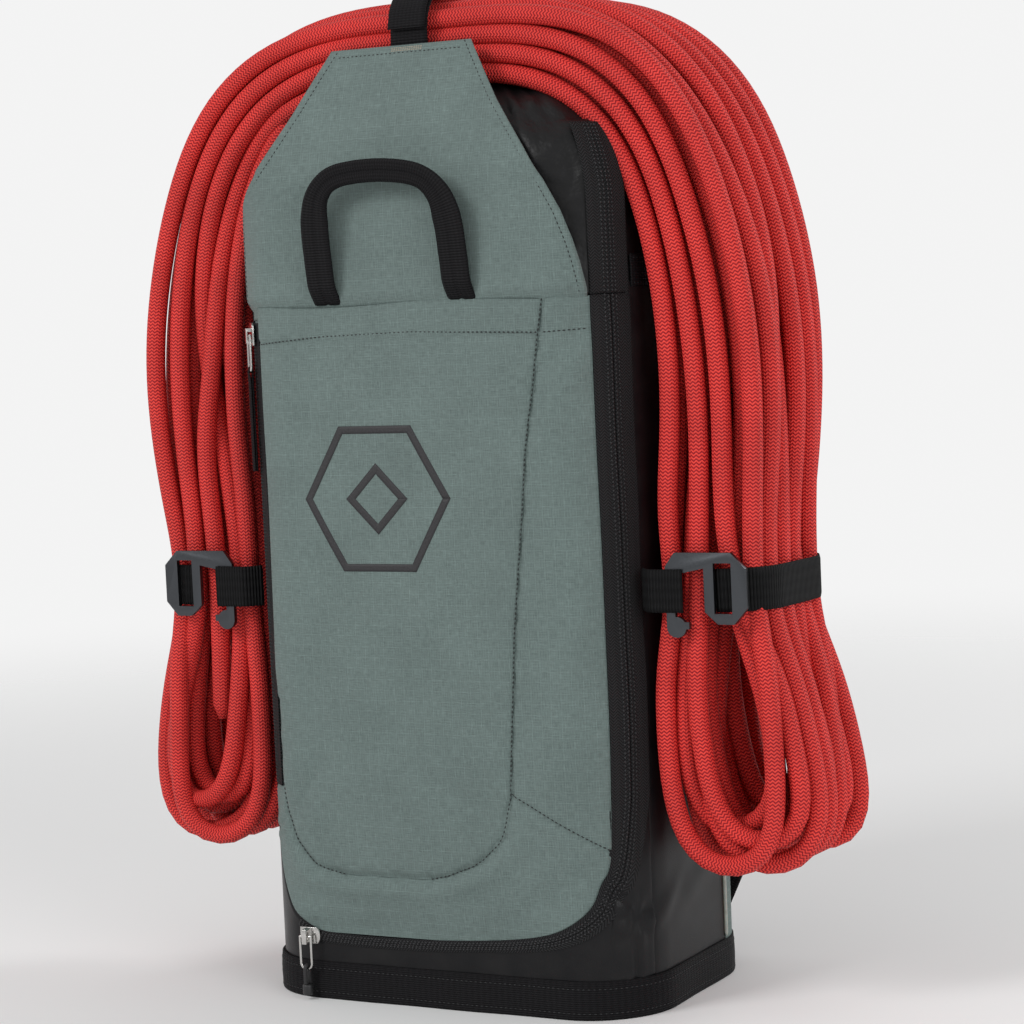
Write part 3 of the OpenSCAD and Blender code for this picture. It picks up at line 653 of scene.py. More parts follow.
tarp = tarpaulin()
TARP_THICK = 1.4
DOOR_EDGE = np.array([(115.5, 421), (115.5, 130), (106.6, 78), (91, 57.5), (61, 46.7), (0, 41.3), (-69, 41),
                      (-90, 45), (-108, 58), (-122, 82), (-130, 115), (-132.5, 150), (-132.5, 421)], float)
door_edge = smooth_path(DOOR_EDGE, 4.0)
edge_low = door_edge[door_edge[:, 1] < 128]
columns_s = np.linspace(-134, 142, 140)
order = np.argsort(edge_low[:, 0])
foot_top = np.interp(columns_s, edge_low[order, 0], edge_low[order, 1]) + 3
foot_top[columns_s < edge_low[:, 0].min() + 4] = 130
foot_top[columns_s > 113] = 130
up = np.linspace(0, 1, 36)[:, None]
foot_z = 3.4 + up * (foot_top[None] - 3.4)
foot_s = columns_s[None] + 0 * foot_z
SEAM_S = 127


def corner_seam(s, z):
    """Groove of the upright seam at the front right corner, with a gathered top."""
    near = np.exp(-((s - SEAM_S) / 1.4) ** 2) * np.clip((60 - z) / 3, 0, 1)
    swell = np.exp(-((np.abs(s - SEAM_S) - 4) / 2.6) ** 2) * np.clip((58 - z) / 8, 0, 1)
    across, rise = s - SEAM_S, z - 58
    star = np.cos(5 * np.arctan2(rise, across) + 0.6) * np.exp(-((np.hypot(across, rise) - 7) / 7) ** 2)
    fold = np.exp(-((rise + 0.5 * across - 3) / 3) ** 2) * np.exp(-((across + 14) / 14) ** 2)
    return -1.9 * near + 0.7 * swell + 1.3 * star + 1.1 * fold


# The panel dives under the side panel at its far edge and under the door along its top
foot_dive = -0.8 * np.clip((foot_s - 139.3) / 2.7, 0, 1) ** 1.5 * (foot_s > 0)
under_door = np.clip((foot_z - foot_top[None] + 6) / 3.5, 0, 1)
foot_dive = foot_dive - 1.7 * under_door
foot_front = skin(foot_s, foot_z, corner_seam(foot_s, foot_z) * (1 - under_door) + foot_dive)
foot_back = skin(foot_s, foot_z, -TARP_THICK - 2.0 + 0 * foot_s)
foot_panel = slab("lower_front_tarpaulin", foot_front, foot_back, foot_s, foot_z, tarp)
placed(foot_panel, "pack", "coated_fabric", "lower_front_panel")
for side, node in ((1, "side_panel_right"), (-1, "side_panel_left")):
    inner_s = 138.8 if side > 0 else 133
    rows = np.linspace(3.4, SEWN_HEIGHT, 120)
    ends = sorted([side * inner_s, side * SIDE_END])
    s, z = spread(rows, ends[0], ends[1], 40)
    ramp = np.clip((142.6 - np.abs(s)) / 3.8, 0, 1) ** 2 if side > 0 else 0
    panel("side_tarpaulin_" + node[11:], s, z, -1.0 * ramp, TARP_THICK, tarp, "pack", "coated_fabric", node)
paint_node("base_panel", tarp)

# ---- Green panels ----
# Front door, its flat pocket, the lid flap and the strips on the rear corners are a melange
# ripstop: grey-green yarns with a faint 6 mm grid of thicker threads.


def ripstop():
    """Streaks of lighter and darker yarn both ways, a faint grid, and a fine woven relief."""
    material, add, bump, into, shade = material_nodes("ripstop", 0.8, Sheen_Weight=0.08,
                                                      Specular_IOR_Level=0.25)
    uv = add("UVMap", uv_map="cloth")
    upright, level = (
        add("TexNoise", [add("VectorMath", [uv, stretch], operation="MULTIPLY"), None, 1.0, 2.0])
        for stretch in ((2600, 170, 1), (170, 2600, 1)))
    cloud = add("TexNoise", [uv, None, 26.0, 3.0])
    both = add("Math", [upright, level], operation="ADD")
    split = add("SeparateXYZ", [uv]).node
    lines = None
    for number in (0, 1):
        for pitch, width, strength in ((0.0064, 0.045, 1.0), (0.0016, 0.13, 0.45)):
            step = add("Math", [split.outputs[number], 1 / pitch], operation="MULTIPLY")
            fold = add("Math", [step, 0.5], operation="PINGPONG")
            line = add("MapRange", [fold, 0.0, width, strength, 0.0])
            lines = line if lines is None else add("Math", [lines, line], operation="MAXIMUM")
    dashes = add("TexNoise", [uv, None, 420.0, 1.0])
    lines = add("Math", [lines, add("MapRange", [dashes, 0.35, 0.6, 0.35, 1.0])], operation="MULTIPLY")
    tone = add("MapRange", [both, 0.72, 1.28, 0.76, 1.2])
    tone = add("Math", [lines, 0.46, tone], operation="MULTIPLY_ADD")
    tone = add("Math", [tone, add("MapRange", [cloud, 0.3, 0.7, 0.93, 1.06])], operation="MULTIPLY")
    shade((0.140, 0.186, 0.176), tone)
    relief = add("Math", [lines, 0.5, both], operation="MULTIPLY_ADD")
    into("Normal", bump(relief, 0.00035))
    return material


def distance_to(s, z, line):
    """Distance of every grid point from a polyline: the least over its segments."""
    least = np.full(np.shape(s), 1e9)
    for a, b in zip(line[:-1], line[1:]):
        way = b - a
        t = np.clip(((s - a[0]) * way[0] + (z - a[1]) * way[1]) / (way @ way), 0, 1)
        least = np.minimum(least, np.hypot(s - a[0] - t * way[0], z - a[1] - t * way[1]))
    return least


green = ripstop()
# The pocket's two edges as heights and places round the wall
POCKET_RIGHT = np.array([(78, -4), (80.5, 8), (89, 30), (104, 46.5), (130, 54), (224, 61), (334, 74),
                         (421, 87.5)])
POCKET_LEFT = np.array([(78, -62), (82, -82), (98, -98), (114, -105), (140, -110), (421, -110)])
pocket_rows = np.r_[78 + 52 * np.linspace(0, 1, 34) ** 1.7, np.linspace(130, 421, 130)[1:]]
right_edge = np.interp(pocket_rows, *POCKET_RIGHT.T)
left_edge = np.interp(pocket_rows, *POCKET_LEFT.T)
pocket_seam = np.vstack([np.c_[right_edge, pocket_rows][::-4], np.c_[left_edge, pocket_rows][:60:4]])
side_seam = np.array([(54, 131), (114, 98)], float)
left_seam = np.array([(-103, 112), (-131, 98)], float)
HEM_LINE = 401


def door_relief(s, z):
    """Grooves along the sewn seams and a roll of fabric below the pocket."""
    seam = distance_to(s, z, pocket_seam)
    below = np.clip((112 - z) / 30, 0, 1)
    pucker = 0.3 * np.exp(-((seam - 5) / 7) ** 2) * np.sin((s - z) / 3.1 + 1.5 * np.sin(z / 23))
    roll = pucker + 3.0 * np.exp(-((seam - 9) / 7) ** 2) * below
    groove = -1.5 * np.exp(-(seam / 1.8) ** 2)
    for line in (side_seam, left_seam):
        gap = distance_to(s, z, line)
        groove = groove - 1.1 * np.exp(-(gap / 1.3) ** 2) + 0.7 * np.exp(-((gap - 4) / 3) ** 2)
    return roll + groove


door_rows = np.r_[41.2 + 90 * np.linspace(0, 1, 60) ** 1.6, np.linspace(131.2, 420.6, 132)[1:]]
edge_right = door_edge[: np.argmin(door_edge[:, 1]) + 1][::-1]
edge_left = door_edge[np.argmin(door_edge[:, 1]):]
door_right_s = np.interp(door_rows, edge_right[:, 1], edge_right[:, 0])
door_left_s = np.interp(door_rows, edge_left[:, 1], edge_left[:, 0])
s, z = spread(door_rows, door_left_s, door_right_s, 130)
seam_side = s > np.interp(z, pocket_rows, right_edge) + 2
beyond = (s < np.interp(z, pocket_rows, left_edge) - 2) | (z < 76) | seam_side
outside = np.where(beyond, 0.0, -1.4)
under_zip = np.clip((-110 - s) / 2, 0, 1) * np.clip((z - 124) / 5, 0, 1)
door_out = np.maximum(outside + door_relief(s, z), -1.6) * (1 - under_zip) - 1.4 * under_zip
door_cloth = slab("door_gusset_cloth", skin(s, z, door_out), skin(s, z, -2.0), s, z, green)
placed(door_cloth, "door", "green_fabric", "door_gusset")

s, z = spread(pocket_rows, left_edge, right_edge, 120)
inward = distance_to(s, z, pocket_seam)
hem_step = 0.5 * np.clip((z - HEM_LINE) / 1.5, 0, 1) - 0.5 * np.exp(-((z - HEM_LINE) / 1.2) ** 2)
pouch = 2.2 * np.exp(-((z - 150) / 70) ** 2) * np.clip(inward / 26, 0, 1)
pouch = pouch - 1.5 * np.exp(-((z - 112) / 20) ** 2) * np.clip((s - 5) / 30, 0, 1)
top_dip = 1.2 * np.sin(s / 24 + 0.6) * np.clip((z - 405) / 16, 0, 1)
pocket_z = z + top_dip
pucker = 0.4 * np.exp(-inward / 11) * np.sin((s + z) / 3.4 + 1.7 * np.sin(z / 31)) * (z < 395)
pocket_out = 0.5 + hem_step + pouch + pucker - 1.6 * np.exp(-(inward / 2.2) ** 2)
pocket_back = skin(s, pocket_z, pocket_out - 1.3)
pocket = slab("pocket_cloth", skin(s, pocket_z, pocket_out), pocket_back, s, z, green)
placed(pocket, "door", "green_fabric", "pocket_panel")

# Lid flap: rows climb the wall, then lean back over the dome to the narrow end at the top strap
FLAP_LEFT = np.array([(414, -133), (470, -133), (484, -124), (500, -104), (536, -79), (572.5, -57)], float)
FLAP_RIGHT = np.array([(414, 114), (423, 114), (440, 110.5), (453, 107), (470, 101), (488, 92),
                       (536, 59.5), (572.5, 38)], float)
flap_rows = np.linspace(414, 572.5, 96)
left_run = np.interp(flap_rows, *FLAP_LEFT.T)
right_run = np.interp(flap_rows, *FLAP_RIGHT.T)
FLAP_TURN = 492
FOLD_START, FOLD_END = (0, -0.088, 0.423), (0, -0.088, 0.437)
FLAP_TOP_Y = -64.8
FLAP_TOP_Z = 572.5
s, z = spread(flap_rows, left_run, right_run, 90)


def flap_surface(s, z, out):
    """The wall's layer up to the turn, then a straight lean towards the strap, eased between."""
    base = skin(s, z, out)
    t = np.clip((z - FLAP_TURN) / (FLAP_TOP_Z - FLAP_TURN), 0, 1)
    lean = (FLAP_TOP_Y + HALF_D + out) * (t - 0.10 * np.sin(math.pi * t))
    level_y = (-HALF_D - out + lean - 0.6 * fullness(s, z) * (1 - t)
               + 4 * t * (1 - t) * (np.abs(s) / 90) ** 2)
    blend = np.clip((z - FLAP_TURN + 14) / 28, 0, 1)
    base[..., 1] = base[..., 1] * (1 - blend) + np.maximum(base[..., 1], level_y) * blend
    return base


def flap_tuck(z):
    """How far the flap's foot is tucked in behind the pocket's hem."""
    return 3.7 * np.clip((427 - z) / 8, 0, 1) ** 1.5


edge_line = np.vstack([np.c_[left_run, flap_rows][::4], np.c_[right_run, flap_rows][::-4]])
edge_gap = distance_to(s, z, edge_line)
flap_out = (2.6 - flap_tuck(z) + 0.35 * np.exp(-((edge_gap - 2) / 2.4) ** 2)
            - 0.4 * np.exp(-((edge_gap - 5) / 0.9) ** 2))
flap_back = flap_surface(s, z, flap_out - 1.2)
flap = slab("lid_flap_cloth", flap_surface(s, z, flap_out), flap_back, s, z, green)
placed(flap, None, "green_fabric", "lid_flap")
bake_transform(flap)
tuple(FOLD_START)
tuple(FOLD_END)

for side, node in ((1, "back_edge_right"), (-1, "back_edge_left")):
    rows = np.linspace(3.4, SEWN_HEIGHT, 60)
    ends = sorted([side * SIDE_END, side * BACK_START])
    s, z = spread(rows, ends[0], ends[1], 26)
    panel("rear_corner_strip_" + node[10:], s, z, 0.3, TARP_THICK, green, "pack", "green_fabric", node)

# ---- Piping ----
# A pale translucent cord is sewn into the seam in front of each green rear strip.
SIDES = ((1, "right"), (-1, "left"))


def piping_vinyl():
    """Soft clear vinyl: pale grey, a little light carried through it."""
    material, add, bump, into, shade = material_nodes("piping_vinyl", 0.35, Subsurface_Weight=0.2)
    cloud = add("TexNoise", [add("TexCoord").node.outputs["Object"], None, 220.0, 2.0])
    shade((0.42, 0.42, 0.39), add("MapRange", [cloud, 0.3, 0.7, 0.8, 1.1]))
    return material


piping = piping_vinyl()
for side, word in SIDES:
    rows = np.linspace(24.5, 423, 160)
    seam_s = np.full(160, side * (SIDE_END + 0.4))
    piece = rope_tube("rear_piping_" + word, skin(seam_s, rows, 0.5), 1.3, 8, piping)
    placed(piece, "pack", "green_fabric")

# ---- Seam thread ----
# Bonded thread, dark on the seams and beige on the bartacks, sewn in rows of 3 mm stitches.


def thread(name, colour):
    """Twisted bonded thread: a slanting twist in tone and relief, a slight gloss."""
    material, add, bump, into, shade = material_nodes(name, 0.5)
    place = add("TexCoord").node.outputs["Object"]
    twist = add("TexNoise", [place, None, 2500.0, 1.0])
    shade(colour, add("MapRange", [twist, 0.3, 0.7, 0.75, 1.2]))
    into("Normal", bump(twist, 0.0001))
    return material


def stitches(name, rows, pitch, length, radius, material, body):
    """Rows of stitches as one piece. Each stitch is a long eight-sided grain laid on its row:
    two tips along the row, and four corners across it and above and below."""
    points, faces, count = [], [], 0
    for line, normal in rows:
        along = path_lengths(line)
        middle = np.arange(pitch / 2, along[-1], pitch)
        at = np.stack([np.interp(middle, along, line[:, k]) for k in range(3)], 1)
        up = np.stack([np.interp(middle, along, normal[:, k]) for k in range(3)], 1)
        way = directions(at) if len(at) > 2 else np.tile(line[-1] - line[0], (len(at), 1))
        way /= np.linalg.norm(way, axis=1)[:, None]
        aside = np.cross(way, up)
        grain = np.stack([at - way * length / 2, at + aside * radius, at + up * radius,
                          at - aside * radius, at - up * radius, at + way * length / 2], 1)
        points.append(grain.reshape(-1, 3))
        tips = np.array([(0, 2, 1), (0, 3, 2), (0, 4, 3), (0, 1, 4),
                         (5, 1, 2), (5, 2, 3), (5, 3, 4), (5, 4, 1)])
        faces.append((tips[None] + (np.arange(len(at)) * 6 + count)[:, None, None]).reshape(-1, 3))
        count += 6 * len(at)
    piece = shaped(name, np.vstack(points), np.vstack(faces).tolist(), None, material)
    if body:
        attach(piece, body)
    return piece


def on_wall(line, out, extra=None):
    """A row on the wall from (s, z) points, with its outward normals; extra adds to the height."""
    s, z = np.asarray(line, float).T
    points = skin(s, z, out + (0 if extra is None else extra(s, z)))
    x, y, nx, ny = wall(s)
    return points, np.stack([nx, ny, 0 * nx], -1)


dark_thread = thread("dark_thread", (0.016, 0.014, 0.014))
beige_thread = thread("beige_thread", (0.42, 0.36, 0.28))
hem_row = even_steps(np.array([(-108, HEM_LINE - 1.5), (-60, HEM_LINE + 2), (0, HEM_LINE + 3),
                               (84, HEM_LINE)], float), 4)
hem_right = even_steps(np.array([(87, HEM_LINE), (114, HEM_LINE + 1)], float), 4)
slant = even_steps(side_seam + (0, 1.6), 4)
right_seam_row = np.c_[right_edge, pocket_rows][::-3]
left_seam_row = np.c_[left_edge, pocket_rows][:52:3]
stitches("door_seam_stitches", [
    on_wall(hem_row, 0.9), on_wall(hem_right, 0.1, door_relief), on_wall(slant, 0.15, door_relief),
    on_wall(right_seam_row, -0.4), on_wall(left_seam_row, -0.4)], 2.9, 2.2, 0.46, dark_thread, "door")
flap_row = even_steps(np.c_[right_run - 4.5, flap_rows][5:], 3)
flap_row_left = even_steps(np.c_[left_run + 5, flap_rows][5:], 3)
flap_top_row = even_steps(np.array([(-52, 568), (33, 568)], float), 3)
flap_rows_3d = []
for line in (flap_row, flap_row_left, flap_top_row):
    at = flap_surface(line[:, 0], line[:, 1], 2.5 - flap_tuck(line[:, 1]))
    x, y, nx, ny = wall(line[:, 0])
    flap_rows_3d.append((at, np.stack([nx * 0.96, ny * 0.96, 0.28 + 0 * nx], -1)))
flap_stitches = stitches("flap_edge_stitches", flap_rows_3d, 2.9, 2.2, 0.42, dark_thread, None)
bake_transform(flap_stitches)
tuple(FOLD_START)
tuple(FOLD_END)
bartack = []
for height in (569.2, 570.1, 571.0):
    line = np.stack([np.linspace(-15.5, 5.5, 12), np.full(12, height)], -1)
    at = flap_surface(line[:, 0], line[:, 1], 2.7 + 0 * line[:, 0])
    bartack.append((at, np.tile((0, -0.96, 0.28), (12, 1))))
stitches("flap_bartack", bartack, 1.5, 1.9, 0.38, beige_thread, "lid")

# ---- Emblem ----
# A generic mark in matt black ink, printed flat on the pocket: a hexagon ring round a square.
EMBLEM_X, EMBLEM_Z, EMBLEM_RADIUS, EMBLEM_LINE = -26, 306, 50, 4.5


def ink():
    """Screen ink: matt black that takes the relief of the cloth under it."""
    material, add, bump, into, shade = material_nodes("emblem_ink", 0.6)
    uv = add("UVMap", uv_map="cloth")
    grain = add("TexNoise", [uv, None, 900.0, 2.0])
    shade((0.021, 0.020, 0.022), add("MapRange", [grain, 0.3, 0.7, 0.7, 1.4]))
    into("Normal", bump(grain, 0.0002))
    return material


def pocket_skin(s, z, lift):
    """The pocket's own surface with a film lift millimetres above it."""
    inward = distance_to(s, z, pocket_seam)
    out = 0.5 + 2.2 * np.exp(-((z - 150) / 70) ** 2) * np.clip(inward / 26, 0, 1)
    return skin(s, z, out + lift)


def printed_band(inner, outer):
    """Both faces and the places of a flat band between two polylines of equally many points."""
    t = np.linspace(0, 1, 4)[:, None, None]
    grid = inner[None] * (1 - t) + outer[None] * t
    s, z = grid[..., 0], grid[..., 1]
    return pocket_skin(s, z, 0.22), pocket_skin(s, z, -0.1), s, z


def refined(line, pieces=20):
    """The polyline with every straight side cut into the same number of pieces, corners kept."""
    parts = [a + (b - a) * np.linspace(0, 1, pieces + 1)[:-1, None] for a, b in zip(line[:-1], line[1:])]
    return np.vstack(parts + [line[-1:]])


corners = np.arange(7) * math.pi / 3
hexagon = np.stack([np.cos(corners), np.sin(corners)], -1)
centre = np.array([EMBLEM_X, EMBLEM_Z], float)
outer_hexagon = centre + hexagon * EMBLEM_RADIUS
inner_hexagon = centre + hexagon * (EMBLEM_RADIUS - EMBLEM_LINE * 1.155)
SQUARE = 30 / math.sqrt(2)
square = np.array([(1, 0), (0, 1), (-1, 0), (0, -1), (1, 0)], float)
outer_square = centre + square * SQUARE
inner_square = centre + square * (SQUARE - EMBLEM_LINE * math.sqrt(2))
emblem_ink = ink()
for name, inner, outer in (("emblem_ring", inner_hexagon, outer_hexagon),
                           ("emblem_square", inner_square, outer_square)):
    mark = slab(name, *printed_band(refined(inner)[::-1], refined(outer)[::-1]), emblem_ink)
    placed(mark, "door", "emblem_ink", "emblem_print")

# ---- Webbing ----
# Woven polyamide webbing, black: a ribbed narrow weave with thicker edges, sewn in place.


def woven(name, colour, rib, across, roughness, height):
    """A narrow weave on the piece's own UV, in metres: ribs of pitch rib over the length,
    crossed by yarns of pitch across, with painted highlight on their crowns, painted shade
    between them and a little unevenness in tone."""
    material, add, bump, into, shade = material_nodes(name, roughness, Specular_IOR_Level=0.12)
    uv = add("UVMap", uv_map="cloth")
    split = add("SeparateXYZ", [uv]).node
    waves = []
    for number, pitch in ((1, rib), (0, across)):
        turn = add("Math", [split.outputs[number], 2 * math.pi / pitch], operation="MULTIPLY")
        waves.append(add("Math", [turn], operation="SINE"))
    weave = add("Math", [waves[0], add("Math", [waves[1], 0.5], operation="MULTIPLY")], operation="ADD")
    speck = add("TexNoise", [uv, None, 900.0, 2.0])
    # painted highlight on the rib crowns and painted shade between them, plus random tone from speck
    shade(colour, add("MapRange", [add("Math", [weave, speck], operation="ADD"), -1.0, 2.2, 0.55, 1.5]))
    into("Normal", bump(weave, height))
    return material


def ribbon(name, path, side, half_width, thick, material, body, slot, *nodes, groove=0.0):
    """Flat webbing carried along a path. side is the direction of its width at each point;
    the profile is a flat bar with round edges and, if groove is set, a seam down its middle."""
    path, side = np.asarray(path, float), np.asarray(side, float)
    count = len(path)
    side = np.broadcast_to(side, path.shape)
    way = directions(path)
    side = side - way * (side * way).sum(1)[:, None]
    side = side / np.linalg.norm(side, axis=1)[:, None]
    up = np.cross(side, way)
    half = np.broadcast_to(half_width, (count,)).astype(float)
    deep = np.broadcast_to(thick, (count,)).astype(float) / 2
    u = np.linspace(-1, 1, 11)
    rise = np.minimum(1, (1 - np.abs(u)) / 0.12 + 0.35)
    rise = rise - groove * np.exp(-(u / 0.09) ** 2)
    edge = np.r_[u, u[::-1]]
    face = np.r_[rise, -rise[::-1]]
    rings = (path[:, None] + side[:, None] * (edge[None, :, None] * half[:, None, None])
             + up[:, None] * (face[None, :, None] * deep[:, None, None]))
    across = np.r_[np.r_[u, u[::-1]], u[0]] * half.max()
    rings = rings[:, ::-1]
    strap = loft(name, rings, across[::-1], path_lengths(path), material)
    return placed(strap, body, slot, *nodes)


def hoop(name, grid, u, v, material):
    """A ring-shaped closed piece from a grid (round, profile, 3), both ways wrapped round.
    Faces are turned outwards by the sign of the volume they enclose."""
    n, m = grid.shape[:2]
    i, j = np.meshgrid(np.arange(n), np.arange(m), indexing="ij")
    k, q = (i + 1) % n, (j + 1) % m
    quads = np.stack([i * m + j, k * m + j, k * m + q, i * m + q], -1).reshape(-1, 4)
    uv = np.stack([np.stack([u[i], v[j]], -1), np.stack([u[i + 1], v[j]], -1),
                   np.stack([u[i + 1], v[j + 1]], -1), np.stack([u[i], v[j + 1]], -1)], 2).reshape(-1, 4, 2)
    points = grid.reshape(-1, 3)
    a, b, c, d = (points[quads[:, k]] for k in range(4))
    volume = (np.cross(a, b) * c).sum() + (np.cross(a, c) * d).sum()
    if volume < 0:
        quads, uv = quads[:, ::-1], uv[:, ::-1]
    return shaped(name, points, quads.tolist(), uv.reshape(-1, 2), material)


webbing = woven("black_webbing", (0.0085, 0.008, 0.009), 0.0016, 0.0026, 0.6, 0.00022)

# ---- Base band ----
# A wide webbing band sewn round the foot with two rows of stitches, slightly wavy between them.
s_round = np.linspace(-BACK_MIDDLE, BACK_MIDDLE, 421)[:-1]
band_profile = np.array([(0.15, 0.2), (0.15, 8), (0.15, 16), (0.15, 22.8), (1.4, 23), (2.0, 22.4),
                         (2.15, 20), (2.35, 18.6), (2.6, 14), (2.65, 10), (2.5, 6), (2.35, 4.2),
                         (2.6, 2), (2.3, 0.5), (1.3, 0)], float)


def band_wave(s):
    """The band's slight waviness round the bag, as two sines."""
    return 0.35 * np.sin(s / 11) + 0.3 * np.sin(s / 27 + 1) - 0.35


outer_part = np.clip((band_profile[:, 0] - 0.3) / 2, 0, 1)
reach = band_profile[None, :, 0] + band_wave(s_round)[:, None] * outer_part[None]
grid_s = s_round[:, None] + 0 * reach
grid_z = band_profile[None, :, 1] + 0 * reach
x, y, nx, ny = wall(grid_s)
base_strip = hoop("base_band_webbing", np.stack([x + nx * reach, y + ny * reach, grid_z], -1),
                  np.linspace(0, 2 * BACK_MIDDLE, 421), np.r_[path_lengths(band_profile), 52.0],
                  woven("base_webbing", (0.0085, 0.008, 0.009), 0.0013, 0.004, 0.62, 0.0002))
placed(base_strip, "pack", "webbing", "base_band")
band_rows = []
for height in (18.6, 4.2):
    line_s = np.linspace(-BACK_MIDDLE, BACK_MIDDLE, 500)
    x, y, nx, ny = wall(line_s)
    lift = 2.38 + band_wave(line_s)
    row = np.stack([x + nx * lift, y + ny * lift, height + 0 * x], -1)
    band_rows.append((row, np.stack([nx, ny, 0 * nx], -1)))
black_thread = thread("black_thread", (0.03, 0.03, 0.032))
stitches("base_band_stitches", band_rows, 3.2, 2.5, 0.33, black_thread, "pack")

# ---- Collar ----
# Thin black polyester closes the top in a dome, gathered in folds towards a small round mouth.
TOP = 556
MOUTH = 26
DOME_X, DOME_Y = 80, 66


def crinkled():
    """Calendered lining cloth: nearly black, a fine weave, small crisp creases and a soft gloss.
    Its tone is painted lighter on the crease ridges and darker in their hollows: painted highlight and
    shade.
    """
    material, add, bump, into, shade = material_nodes("collar_cloth", 0.42, Specular_IOR_Level=0.28)
    uv = add("UVMap", uv_map="cloth")
    crease = add("TexNoise", [uv, None, 60.0, 3.0, 0.55])
    weave = add("TexNoise", [uv, None, 1600.0, 1.0])
    # painted highlight on the crease ridges and painted shade in their hollows, from the crease relief
    shade((0.006, 0.006, 0.0065), add("MapRange", [crease, 0.3, 0.7, 0.8, 1.3]))
    into("Normal", bump(weave, 0.00008, bump(crease, 0.0016)))
    return material


u_round = np.linspace(-1, 1, 481)[:-1]
heights = np.r_[np.linspace(421.2, 476, 26), np.linspace(476, 552.5, 44)[1:]]
arc_x = 50 + np.sqrt(np.maximum(DOME_X ** 2 - (heights - TOP + DOME_X) ** 2, 0))
arc_y = 20 + np.sqrt(np.maximum(DOME_Y ** 2 - (heights - TOP + DOME_Y) ** 2, 0))
half_x = np.where(heights > TOP - DOME_X, arc_x, 130)
half_y = np.where(heights > TOP - DOME_Y, arc_y, 86)
rows_x, rows_y, rows_z = [], [], []
for hx, hy, height in zip(half_x, half_y, heights):
    corner = min(CORNER, hy - 1)
    around = (hx - corner) + corner * math.pi / 2 + 2 * (hy - corner) + corner * math.pi / 2 + (hx - corner)
    x, y, nx, ny = wall(u_round * around, hx, hy, corner)
    swell = fullness(u_round * BACK_MIDDLE, height + 0 * u_round) * (np.abs(u_round) < 0.8)
    rows_x.append(x + nx * swell)
    rows_y.append(y + ny * swell)
    rows_z.append(height + 0 * x)
rows_x, rows_y, rows_z = np.array(rows_x), np.array(rows_y), np.array(rows_z)
mouth_t = np.linspace(0, 1, 16)[1:]
rim_x, rim_y = rows_x[-1], rows_y[-1]
lip_angle = np.arctan2(rows_y[-1] / 62, rows_x[-1] / 84)
for t in mouth_t:
    rows_x = np.vstack([rows_x, (1 - t) * rim_x + t * (MOUTH + 0.5) * np.cos(lip_angle)])
    rows_y = np.vstack([rows_y, (1 - t) * rim_y + t * (MOUTH + 0.5) * np.sin(lip_angle)])
    rows_z = np.vstack([rows_z, 552.5 + 3 * math.sin(math.pi * t) - 1.5 * t + 0 * u_round])
ring = np.stack([rows_x, rows_y, rows_z], -1)
tangent_round = np.roll(ring, -1, 1) - np.roll(ring, 1, 1)
tangent_up = np.gradient(ring, axis=0)
normal = np.cross(tangent_round, tangent_up)
normal /= np.linalg.norm(normal, axis=-1)[..., None]
gather = np.clip((rows_z - 500) / 50, 0, 1) ** 1.5
turn = u_round[None] * math.pi
pleats = np.sin(turn * 23 + 1.3 * np.sin(turn * 5)) + 0.6 * np.sin(turn * 41 + 2 * np.sin(turn * 7 + 1))
crumple = np.sin(turn * 9 + rows_z / 9 + 1.5 * np.sin(rows_z / 17)) * np.sin(rows_z / 13 - turn * 6)
side_drape = np.clip((rows_z - 436) / 30, 0, 1)
bend = rows_z / 6.5 + 2.2 * np.sin(turn * 4 + 0.8) + 1.6 * np.sin(turn * 9 - rows_z / 23)
small_folds = (1 - np.abs(np.sin(bend / 2))) ** 2 * (0.6 + 0.4 * np.sin(turn * 13 + rows_z / 19))
ribs = 0.35 * np.sin(turn * 96) * np.clip((446 - rows_z) / 10, 0, 1)
drape = side_drape * (1.5 * (crumple - 1.0) - 1.9 * (1 - small_folds)) * (1 - 0.5 * gather)
sunk = 1.1 * gather * (pleats - 1.6) + drape + ribs - 0.7
under_zip = np.exp(-((u_round * BACK_MIDDLE - 128) / 15) ** 4)[None] * (rows_z < 524)
sunk = sunk * (1 - under_zip) - 1.15 * under_zip
collar_out = ring + normal * sunk[..., None]
collar_in = ring + normal * (sunk - 1.1)[..., None]
profile = np.concatenate([collar_out, collar_in[::-1]]).transpose(1, 0, 2)
collar_v = np.r_[np.linspace(0, 200, len(ring)), np.linspace(200, 0, len(ring)), 0]
lining_cloth = crinkled()
collar = hoop("collar_cloth", profile, np.linspace(0, 2 * BACK_MIDDLE, 481), collar_v, lining_cloth)
placed(collar, "pack", "black_fabric", "collar")

turns = np.linspace(0, 2 * math.pi, 145)[:-1]
section_turn = np.linspace(0, 2 * math.pi, 17)[:-1]
hem_r = 29 + 2.9 * np.cos(section_turn)[None] - 0.25 * (1 + np.sin(turns * 30))[:, None]
hem_z = 547.6 + 3.3 * np.sin(section_turn)[None] + 0 * turns[:, None]
hem_points = np.stack([hem_r * np.cos(turns)[:, None], hem_r * np.sin(turns)[:, None], hem_z], -1)
hem_ring = hoop("collar_drawn_hem", hem_points, np.linspace(0, 182, 145), np.linspace(0, 20, 17),
                lining_cloth)
placed(hem_ring, "pack", "black_fabric", "collar_hem")

